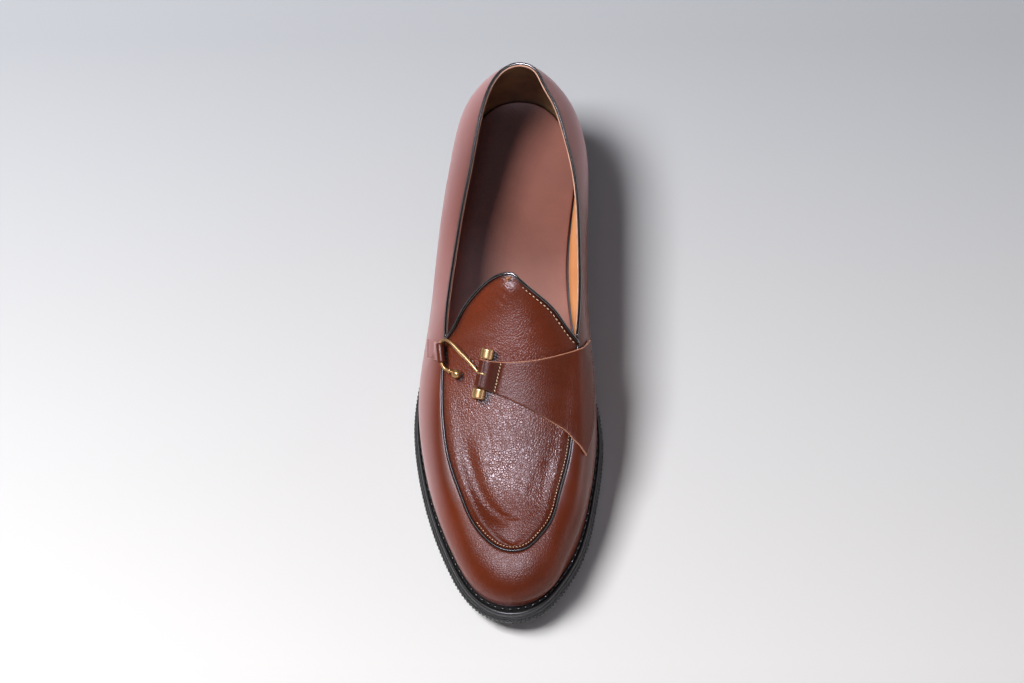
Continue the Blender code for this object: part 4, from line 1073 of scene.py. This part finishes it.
class Strap:
    """Path of the strap over the vamp and round the bar in its folded end."""

    def __init__(self, skin):
        self.skin = skin
        self.fold_radius = BAR_RADIUS + GAP + STRAP_THICKNESS / 2
        self.low = SEAT + STRAP_THICKNESS / 2
        self.bar_height = BAR_CLEARANCE + STRAP_THICKNESS / 2 + self.fold_radius
        ends = [self.skin.over(*self.place(self.share_at(0.0, v), v), self.bar_height) for v in (0.0, 1.0)]
        self.start, self.end = ends
        self.axis = unit(self.end - self.start)
        normal = self.skin.normal(*self.place(self.share_at(0.0, 0.5), 0.5))
        self.up = unit(normal - self.axis * np.dot(normal, self.axis))
        self.out = np.cross(self.axis, self.up)

    def place(self, share, v):
        rear = float(spline(STRAP_ROWS, share, 1))
        front = float(spline(STRAP_ROWS, share, 2))
        base = float(spline(STRAP_ANGLES, v, 1))
        fold = float(spline(STRAP_ANGLES, v, 2))
        return rear + (front - rear) * v, base + (fold - base) * share

    def share_at(self, distance, v):
        back = distance + self.fold_radius + STRAP_THICKNESS / 2
        end = self.skin.hit(*self.place(1.0, v))
        near = self.skin.hit(*self.place(0.9, v))
        return 1.0 - 0.1 * back / (end - near).length

    def centre(self, v):
        return self.start + (self.end - self.start) * v

    def lifted(self, share, v, height, distance):
        point = self.skin.over(*self.place(share, v), height)
        spot = self.skin.over(*self.place(self.share_at(0.0, v), v), self.bar_height)
        return point + (self.centre(v) - spot) * float(smooth(1 - distance / FOLD_LENGTH))

    def seam_lift(self, share, v):
        station, angle = self.place(share, v)
        station = max(station, NOTCH)
        x = float(centre_line(station) + EDGE.half(station, 1))
        rise = float(edge_height(station)) - GIRTH_AXIS_HEIGHT
        away = math.radians(angle - math.degrees(math.atan2(x, rise))) * math.hypot(x, rise)
        return SEAM_LIFT * math.exp(-(away / SEAM_LIFT_SPREAD) ** 2)

    def row(self, v, shares, folds, turns, unders):
        points = []
        last = self.share_at(FOLD_LENGTH, v)
        for share in shares:
            at = last * share
            points.append(self.lifted(at, v, self.low + self.seam_lift(at, v), FOLD_LENGTH))
        for part in folds:
            distance = FOLD_LENGTH * part
            height = self.low + 2 * self.fold_radius * float(spline(FOLD_ROWS, part))
            points.append(self.lifted(self.share_at(distance, v), v, height, distance))
        for i in range(turns + 1):
            turn = math.pi / 2 - math.pi * i / turns
            spoke = self.out * math.cos(turn) + self.up * math.sin(turn)
            points.append(self.centre(v) + self.fold_radius * spoke)
        for part in unders:
            distance = FOLD_LENGTH * part
            points.append(self.lifted(self.share_at(distance, v), v, self.low, distance))
        return points


# Distances of the strap's grid lines from its long edges, then shares of its path: rows over the
# vamp, in the fold's upper layer and in its under layer, and steps round the bar
EDGE_OFFSETS = (0.0, 0.00006, 0.00018, 0.00036, 0.0006)
STRAP_SHARES = (0.0, 0.0012, 0.0034, 0.0066, 0.011, *np.linspace(0.02, 1.0, 74)[:-1])
STRAP_PATH = (STRAP_SHARES, np.linspace(1.0, 0.04, 22), 10, np.linspace(0.06, 0.54, 8))


def strap_grid(strap):
    """Middle points of the strap, finer toward its long edges, and their places across it."""
    inner = np.linspace(0.0, 1.0, 37)
    grid = np.array([strap.row(v, *STRAP_PATH) for v in inner])
    widths = np.linalg.norm(grid[0] - grid[-1], axis=1)
    columns = []
    table = []
    for i, width in enumerate(widths):
        offsets = np.array(EDGE_OFFSETS) / width
        vs = np.concatenate([offsets, np.linspace(offsets[-1], 1 - offsets[-1], 30)[1:-1], 1 - offsets[::-1]])
        columns.append(np.stack([np.interp(vs, inner, grid[:, i, axis]) for axis in range(3)], -1))
        table.append(vs * width)
    return np.array(columns), widths, np.array(table)


def make_strap(strap):
    """Strap with rounded raw edges, its folded end and its stitches."""
    centre, widths, across = strap_grid(strap)
    normal = unit(np.cross(np.gradient(centre, axis=1), np.gradient(centre, axis=0)))
    if np.mean(normal[:60, :, 2]) < 0:
        normal = -normal
    start = run_lengths(centre[:, centre.shape[1] // 2])[:, None]
    near = np.minimum(np.minimum(across, widths[:, None] - across), start)
    top, verts, faces = slab(centre, normal, rounded_half(near, EDGE_OFFSETS[-1], STRAP_THICKNESS))
    vamp = len(STRAP_SHARES)
    far = start / start[vamp]
    # Painted shade: the front edge keeps its light raw colour only near the base and loses it farther on, as
    # an edge turned from the light; the rear edge keeps it all along.
    raw_edge_and_painted_shade = np.where(across > widths[:, None] / 2, 1 - 0.8 * smooth((far - 0.4) / 0.25), 1.0)
    fold = np.zeros(near.shape)
    fold[vamp + 10:vamp + len(STRAP_PATH[1]) + 11] = 1.0
    values = {"edge_tone_and_painted_shade": bell(near, 0.00028) * raw_edge_and_painted_shade, "grain": 0.5 - 0.25 * fold, "fold": fold}
    values = {key: np.tile(data.ravel(), 2) for key, data in values.items()}
    piece(mesh_of("strap_leather", verts, faces, values), "strap", "calf_leather", "strap")
    base = int(np.argmin(np.abs(start[:, 0] - 0.0018)))
    # Name, thread, row of the grid, columns left free, pitch, share of the pitch, radius and slant
    for name, thread, row, free, pitch, share, radius, slant in (
        ("strap_end_stitches", "thread", vamp + 9, 3, 0.0017, 0.60, STITCH * 1.1, 0.00028),
        ("strap_base_stitches", "brown_thread", base, 6, 0.0018, 0.62, STITCH, 0.0),
    ):
        batch = Batch()
        stitches(batch, top[row, free:-free], normal[row, free:-free], pitch, share, radius, slant=slant)
        piece(batch.mesh(name), thread, "calf_leather")


def turned(profile, matrix, steps):
    """Verts and faces of a profile of radius and height turned round the matrix's Z."""
    angles = 2 * np.pi * np.arange(steps) / steps
    profile = np.array(profile, float)
    radius, height = profile[:, 0], profile[:, 1]
    local = np.stack([radius[:, None] * np.cos(angles), radius[:, None] * np.sin(angles),
                      np.broadcast_to(height[:, None], (len(profile), steps))], -1)
    verts = local.reshape(-1, 3) @ matrix[:3, :3].T + matrix[:3, 3]
    ids = np.arange(len(profile) * steps).reshape(len(profile), steps)
    return verts, grid_faces(ids, True)


def frame_matrix(origin, x_axis, y_axis, z_axis):
    matrix = np.eye(4)
    for column, axis in enumerate((x_axis, y_axis, z_axis, origin)):
        matrix[:3, column] = axis
    return matrix


def make_bar(strap):
    """Brass bar with a turned knob at each end: a rim, a barrel and a nearly flat face."""
    inner = np.linalg.norm(strap.end - strap.start) / 2 + 2 * GAP
    barrel = KNOB_RADIUS * 1.06
    half = [(0.00001, KNOB_LENGTH), (barrel * 0.55, KNOB_LENGTH - 0.00002),
            (barrel - 0.0004, KNOB_LENGTH - 0.00006), (barrel - 0.00014, KNOB_LENGTH - 0.00018),
            (barrel, KNOB_LENGTH - 0.0004), (barrel, KNOB_LENGTH - 0.0009), (barrel, 0.0009),
            (barrel, 0.0004), (barrel - 0.0001, 0.00016), (barrel - 0.0004, 0.0), (BAR_RADIUS, 0.0)]
    half = [(r, inner + z) for r, z in half]
    profile = half + [(r, -z) for r, z in reversed(half)]
    matrix = frame_matrix(strap.centre(0.5), strap.out, np.cross(strap.axis, strap.out), strap.axis)
    piece(mesh_of("brass_bar", *turned(profile, matrix, 40)), "brass", "brass", "strap_bar")


def smooth_path(route, parts):
    rows = tuple((float(i), *[float(c) for c in point]) for i, point in enumerate(route))
    at = np.linspace(0, len(route) - 1, (len(route) - 1) * parts + 1)
    return np.stack([spline(rows, at, axis) for axis in (1, 2, 3)], -1)


def loop_ends(skin):
    rise = LOOP_WALL + HOOK_RADIUS + 2 * GAP
    return [skin.over(station, angle, height + rise) for station, angle, height in (LOOP_START, LOOP_END)]


# Girth of the hook's wire in its radii, then where it swells: by how much, place and spread
WIRE_GIRTH = 0.88
SWELLINGS = ((0.52, 0.24, 0.14), (0.16, 0.84, 0.10))
# Collar behind the ball: girth in wire radii, and place along the wire from the ball's middle
NECK_ROWS = ((0.9, -0.0047), (1.5, -0.0045), (1.72, -0.0042), (1.72, -0.0037), (1.5, -0.0034), (1.0, -0.0032),
             (0.9, -0.0022))


def make_hook(strap, skin):
    """Brass S-hook: an eye on the bar, a wire that tapers to its ends, a ball with a collar."""
    middle = strap.centre(0.5)
    eye_radius = BAR_RADIUS + GAP + HOOK_RADIUS
    route = [middle + strap.out * eye_radius]
    route += [skin.over(*row) for row in HOOK_RISE]
    start, end = loop_ends(skin)
    route += [start, (start + end) / 2, end]
    route += [skin.over(*row) for row in HOOK_RETURN]
    points = smooth_path(route, 10)
    share = np.linspace(0, 1, len(points))
    swelling = sum(more * bell(share - at, spread) for more, at, spread in SWELLINGS)
    radii = HOOK_RADIUS * (WIRE_GIRTH + swelling)
    batch = Batch()
    batch.add(*tube(points, radii, 16))
    angles = np.linspace(0, 2 * np.pi, 41)[:-1]
    eye = [middle + eye_radius * (strap.out * math.cos(a) + strap.up * math.sin(a)) for a in angles]
    batch.add(*tube(eye, HOOK_RADIUS * 0.9, 12, closed=True))
    run = unit(points[-1] - points[-3])
    side = unit(np.cross(run, (0.0, 0.0, 1.0)))
    matrix = frame_matrix(points[-1], side, np.cross(run, side), run)
    ball = HOOK_BALL_RADIUS
    profile = [(HOOK_RADIUS * girth, place) for girth, place in NECK_ROWS]
    profile += [(ball * math.sin(a), -ball * math.cos(a)) for a in np.linspace(0.45, np.pi - 0.02, 15)]
    batch.add(*turned(profile, matrix, 28))
    piece(batch.mesh("brass_hook"), "brass", "brass", "hook")


def make_hook_loop(skin):
    """Rolled leather loop round the hook, and the stitched tab that holds it."""
    start, end = loop_ends(skin)
    axis = unit(end - start)
    bore = HOOK_RADIUS + GAP
    half = np.linalg.norm(end - start) / 2 + 0.0006
    outer = bore + LOOP_WALL
    profile = [(bore, -half + 0.0002), (bore + 0.0003, -half), (outer - 0.0004, -half),
               (outer - 0.00008, -half + 0.0004), (outer, -half + 0.0012), (outer - 0.0001, 0.0),
               (outer, half - 0.0012), (outer - 0.00008, half - 0.0004), (outer - 0.0004, half),
               (bore + 0.0003, half), (bore, half - 0.0002), (bore, -half + 0.0002)]
    side = unit(np.cross(axis, (0.0, 0.0, 1.0)))
    matrix = frame_matrix((start + end) / 2, side, np.cross(axis, side), axis)
    verts, faces = turned(profile, matrix, 32)
    batch = Batch()
    batch.add(verts, faces)
    rows = []
    shares = np.linspace(0, 1, 22)
    downs = np.linspace(0, 1, 26)
    for share in shares:
        high = np.array(LOOP_START) + (np.array(LOOP_END) - LOOP_START) * share
        low = np.array(TAB_START) + (np.array(TAB_END) - TAB_START) * share
        unders = SEAT + (high[2] - SEAT) * smooth(1 - downs / 0.5)
        rows.append([skin.over(*(high[:2] + (low - high[:2]) * part), under + TAB_THICKNESS / 2)
                     for part, under in zip(downs, unders)])
    centre = np.array(rows)
    normal = unit(np.cross(np.gradient(centre, axis=1), np.gradient(centre, axis=0)))
    if np.mean(normal[..., 2]) < 0:
        normal = -normal
    near = np.minimum.outer(np.minimum(shares, 1 - shares) * TAB_WIDTH, (1 - downs) * TAB_LENGTH)
    top, tab_verts, tab_faces = slab(centre, normal, rounded_half(near, 0.0005, TAB_THICKNESS))
    batch.add(tab_verts, tab_faces)
    edge = np.concatenate([np.zeros(len(verts)), np.tile(bell(near.ravel(), 0.0003), 2)])
    # Painted sheen on the tab, as on the wall beside it.
    tab = np.concatenate([np.zeros(len(verts)), np.full(len(tab_verts), 0.8)])
    values = {"edge_tone_and_painted_shade": edge * 0.6, "grain": np.full(len(edge), 0.3), "painted_sheen": tab}
    piece(batch.mesh("loop_leather", values), "strap", "calf_leather", "hook_loop")
    batch = Batch()
    stitches(batch, top[1:-1, -3], normal[1:-1, -3], 0.0015, 0.6, STITCH)
    piece(batch.mesh("loop_stitches"), "brown_thread", "calf_leather")


def sole_turns(per_rib, plain):
    start = math.acos(1 - 2 * RIBS_FROM) / math.pi
    fine = np.linspace(start, 1.0, 801)
    outer = np.linalg.norm(np.diff(SOLE.point(fine), axis=0), axis=1)
    inner = np.linalg.norm(np.diff(SOLE.point(2 - fine), axis=0), axis=1)
    lengths = np.concatenate([[0.0], np.cumsum((outer + inner) / 2)])
    ribs = max(1, round(lengths[-1] / RIB_PITCH))
    marks = np.linspace(0.0, lengths[-1], per_rib * ribs + 1)
    forefoot = np.interp(marks, lengths, fine)
    phase = np.concatenate([np.zeros(plain), np.arange(len(forefoot)) / per_rib])
    outer_turns = np.concatenate([start * np.arange(plain) / plain, forefoot])
    deep = np.where(np.arange(len(outer_turns)) < plain, 0.0, (1 - np.cos(2 * np.pi * phase)) / 2)
    turns = np.concatenate([outer_turns, 2 - outer_turns[-2:0:-1]])
    return turns, np.concatenate([deep, deep[-2:0:-1]])


def edge_ring(turns, inset, foot, rise):
    """Ring of points a way in from the sole's outline, at a height over the ground."""
    plan = SOLE.inside(turns, inset)
    return np.concatenate([plan, (ground(station_of(plan)) + foot + rise)[:, None]], -1)


# Rubber sole, from below: inset and height, then how deep the ribs cut there
OUTSOLE_EDGE = (
    (0.0012, 0.0, 0.0), (0.0006, 0.0001, 0.4), (0.0002, 0.0004, 1.0), (0.0, 0.0009, 1.0),
    (0.0, 0.0024, 1.0), (0.0, EDGE_STEP_HEIGHT - 0.0004, 1.0), (0.0002, EDGE_STEP_HEIGHT, 0.7),
    (0.0007, EDGE_STEP_HEIGHT + 0.0002, 0.0), (EDGE_STEP + 0.0002, EDGE_STEP_HEIGHT + 0.0004, 0.0),
    (EDGE_STEP, EDGE_STEP_HEIGHT + 0.0009, 0.0), (EDGE_STEP - 0.0001, 0.0066, 0.0),
    (EDGE_STEP, 0.0078, 0.0), (EDGE_STEP + 0.0003, 0.0083, 0.0), (EDGE_STEP + 0.0010, 0.0085, 0.0),
    (0.0060, 0.0085, 0.0),
)


def make_outsole():
    """Rubber sole: ribbed lower edge round the forefoot, a step, and a smooth upper edge."""
    turns, deep = sole_turns(6, 150)
    rings = [edge_ring(turns, inset + RIB_DEPTH * 1.25 * share * deep, 0.0, rise)
             for inset, rise, share in OUTSOLE_EDGE]
    ids = ring_ids(rings)
    below, table = fill(rings[0], ids[0], ids.size, 16)
    faces = grid_faces(ids, True) + span_faces(table, flip=True)
    piece(mesh_of("rubber_outsole", np.vstack([*rings, below]), faces), "rubber", "black_rubber", "outsole")


# Heel, from its foot: share of its height and inset, with a fine line under each lift
HEEL_EDGE = ((0.0, 0.0008), (0.012, 0.0003), (0.05, 0.0), (0.34, 0.0), (0.36, 0.00035), (0.385, 0.00035),
             (0.405, 0.0), (0.70, 0.0), (0.72, 0.00025), (0.74, 0.00025), (0.76, 0.0), (0.99, 0.0),
             (1.0, 0.0004))


def make_heel():
    """Heel block in lifts: a seat lift, a middle and a top piece with fine lines between."""
    last = math.acos(1 - 2 * HEEL_LENGTH / OUTSOLE_LENGTH) / math.pi
    steps = 90
    turns = np.concatenate([np.linspace(2 - last, 2, steps, endpoint=False), np.linspace(0, last, steps + 1)])
    rings = []
    for share, inset in HEEL_EDGE:
        plan = SOLE.inside(turns % 2, inset + HEEL_TAPER * (1 - share) + EDGE_STEP / 2)
        top = ground(station_of(plan)) - GAP
        rings.append(np.concatenate([plan, (top * share)[:, None]], -1))
    ids = ring_ids(rings)
    faces = grid_faces(ids, True)
    for ring in (ids[0][::-1], ids[-1]):
        mirrored = ring[::-1]
        for i in range(len(turns) // 2):
            corners = (ring[i], ring[i + 1], mirrored[i + 1], mirrored[i])
            faces.append(tuple(dict.fromkeys(int(corner) for corner in corners)))
    item = piece(mesh_of("rubber_heel", np.vstack(rings), faces), "rubber", "black_rubber", "heel")
    item.modifiers.new("edges", 'EDGE_SPLIT').split_angle = math.radians(50)


# Welt, across its rim and channel: share of half its free width, then share of its thickness
WELT_EDGE = ((0.0, 0.02), (-0.06, 0.25), (-0.08, 0.55), (0.0, 0.84), (0.16, 0.98), (0.40, 1.06), (0.66, 1.04),
             (0.86, 0.95), (0.97, 0.82), (1.06, 0.72), (1.30, 0.70), (1.8, 0.70), (2.6, 0.72), (3.2, 0.70),
             (3.2, 0.05))
WELT_SEAM = (1.45, 0.76)


def make_welt():
    """Welt with a raised round rim and a stitched channel next to the upper."""
    turns = edge_turns(220, 220)
    rim = WELT_INSET + EDGE_STEP
    width = (spline(MARGIN_ROWS, fold_turn(turns)) - rim) * 0.50
    foot = OUTSOLE_THICKNESS + GAP * 0.4
    rings = [edge_ring(turns, rim + width * out, foot, WELT_THICKNESS * rise) for out, rise in WELT_EDGE]
    ids = ring_ids(rings)
    faces = grid_faces(np.vstack([ids, ids[:1]]), True)
    piece(mesh_of("stitched_welt", np.vstack(rings), faces), "welt", "black_welt", "welt")
    line = edge_ring(turns, rim + width * WELT_SEAM[0], foot, WELT_THICKNESS * WELT_SEAM[1])
    line = np.vstack([line, line[:1]])
    batch = Batch()
    stitches(batch, line, np.tile((0.0, 0.0, 1.0), (len(line), 1)), 0.0042, 0.80, WELT_THREAD, sink=0.5)
    piece(batch.mesh("welt_stitches"), "black_thread", "black_welt")


def make_insole():
    """Footbed plate with a rounded upper edge, a little hollow across."""
    turns = edge_turns(110, 100)
    margin = spline(MARGIN_ROWS, fold_turn(turns)) + UPPER_WALL + GAP
    rings = [edge_ring(turns, margin + extra, OUTSOLE_THICKNESS + GAP, INSOLE_THICKNESS * rise)
             for extra, rise in ((0.0, 0.02), (0.0001, 0.9), (0.0003, 0.98), (0.0008, 1.0))]
    ids = ring_ids(rings)
    above, table = fill(rings[-1], ids[-1], ids.size, 40, FOOTBED_HOLLOW)
    faces = grid_faces(ids, True) + span_faces(table)
    piece(mesh_of("footbed", np.vstack([*rings, above]), faces), "footbed", "footbed_leather", "insole")


# Lights: name, place, size, power, colour and the kind of ray that sees them
KEY_PLACE = (-0.80, 0.12, 1.45)
KEY_COLOUR = (1.0, 0.985, 0.97)
LIGHTS = (
    ("key", KEY_PLACE, (0.62, 0.62), 32.2, KEY_COLOUR, "diffuse"),
    ("gloss", KEY_PLACE, (0.44, 0.44), 10.0, KEY_COLOUR, "glossy"),
    ("top", (-0.10, -0.38, 1.80), (0.50, 0.28), 46.0, (0.90, 0.86, 1.0), "glossy"),
)
AIM = (0.0, 0.0, 0.03)
# World light by direction: axis, then where it starts and ends and its strength there
WORLD_COLOUR = (1.0, 0.93, 0.97, 1.0)
WORLD_SPANS = (("Z", (0.0, 0.45, 1.2, 0.012)), ("X", (-1.0, 1.0, 0.2, 2.1)))


def make_floor():
    size = FLOOR_HALF
    verts = [(-size, -size, 0), (size, -size, 0), (size, size, 0), (-size, size, 0)]
    floor = bpy.data.objects.new("floor", mesh_of("floor", verts, [(0, 1, 2, 3)]))
    bpy.context.scene.collection.objects.link(floor)
    shade = Shade("floor_paper", 0.85, Specular_IOR_Level=0.2)
    split = shade.add("ShaderNodeSeparateXYZ", {"Vector": shade.where})
    # Painted light: the floor is painted lighter toward the front (-Y) and greyer toward the back, standing
    # in for the fall of the light across it.
    far = shade.span(split.outputs["Y"], -0.17, 0.20)
    floor.data.materials.append(shade.finish(shade.mix(far, rgb(240, 240, 241), rgb(186, 190, 197))))
    bpy.context.scene.view_settings.view_transform = 'Standard'


def make_world():
    """Pale world, brighter near the horizon and on the inner side of the foot."""
    world = bpy.context.scene.world or bpy.data.worlds.new("studio")
    bpy.context.scene.world = world
    world.use_nodes = True
    nodes, links = world.node_tree.nodes, world.node_tree.links
    back = nodes["Background"]
    back.inputs["Color"].default_value = WORLD_COLOUR
    split = nodes.new("ShaderNodeSeparateXYZ")
    links.new(nodes.new("ShaderNodeTexCoord").outputs["Generated"], split.inputs[0])
    both = nodes.new("ShaderNodeMath")
    both.operation = 'MULTIPLY'
    for socket, (axis, spans) in zip(both.inputs, WORLD_SPANS):
        node = nodes.new("ShaderNodeMapRange")
        links.new(split.outputs[axis], node.inputs["Value"])
        for key, value in zip(("From Min", "From Max", "To Min", "To Max"), spans):
            node.inputs[key].default_value = value
        links.new(node.outputs["Result"], socket)
    links.new(both.outputs[0], back.inputs["Strength"])


def make_lights():
    for name, place, size, power, colour, seen in LIGHTS:
        data = bpy.data.lights.new(name, 'AREA')
        data.shape = 'RECTANGLE'
        data.size, data.size_y = size
        data.energy = power
        data.color = colour
        light = bpy.data.objects.new(name, data)
        light.location = place
        light.rotation_mode = 'QUATERNION'
        light.rotation_quaternion = (Vector(AIM) - Vector(place)).to_track_quat('-Z', 'Y')
        light.visible_diffuse = seen == "diffuse"
        light.visible_glossy = seen == "glossy"
        bpy.context.scene.collection.objects.link(light)


# Camera, fitted to the photo: angle over the floor, distance, the point it looks at, its small
# shift up, and its lens in millimetres
CAMERA_RISE = math.radians(68.0)
CAMERA_DISTANCE = 1.7
CAMERA_TARGET = (0.0019, 0.0, 0.030)
CAMERA_UP = 0.0013
CAMERA_LENS = 110.64
CAMERA_SENSOR = 36.0


def make_camera():
    back = Vector((0.0, -math.cos(CAMERA_RISE), math.sin(CAMERA_RISE)))
    up = Vector((0.0, math.sin(CAMERA_RISE), math.cos(CAMERA_RISE)))
    data = bpy.data.cameras.new("camera")
    data.lens = CAMERA_LENS
    data.sensor_width = CAMERA_SENSOR
    camera = bpy.data.objects.new("camera", data)
    camera.location = Vector(CAMERA_TARGET) + back * CAMERA_DISTANCE + up * CAMERA_UP
    camera.rotation_mode = 'QUATERNION'
    camera.rotation_quaternion = (-back).to_track_quat('-Z', 'Y')
    bpy.context.scene.collection.objects.link(camera)
    bpy.context.scene.camera = camera


upper = make_upper()
make_pipings(upper)
make_seam_stitches(upper)
make_outsole()
make_heel()
make_welt()
make_insole()
skin = Skin()
strap = Strap(skin)
make_strap(strap)
make_bar(strap)
make_hook(strap, skin)
make_hook_loop(skin)
make_floor()
make_world()
make_lights()
make_camera()
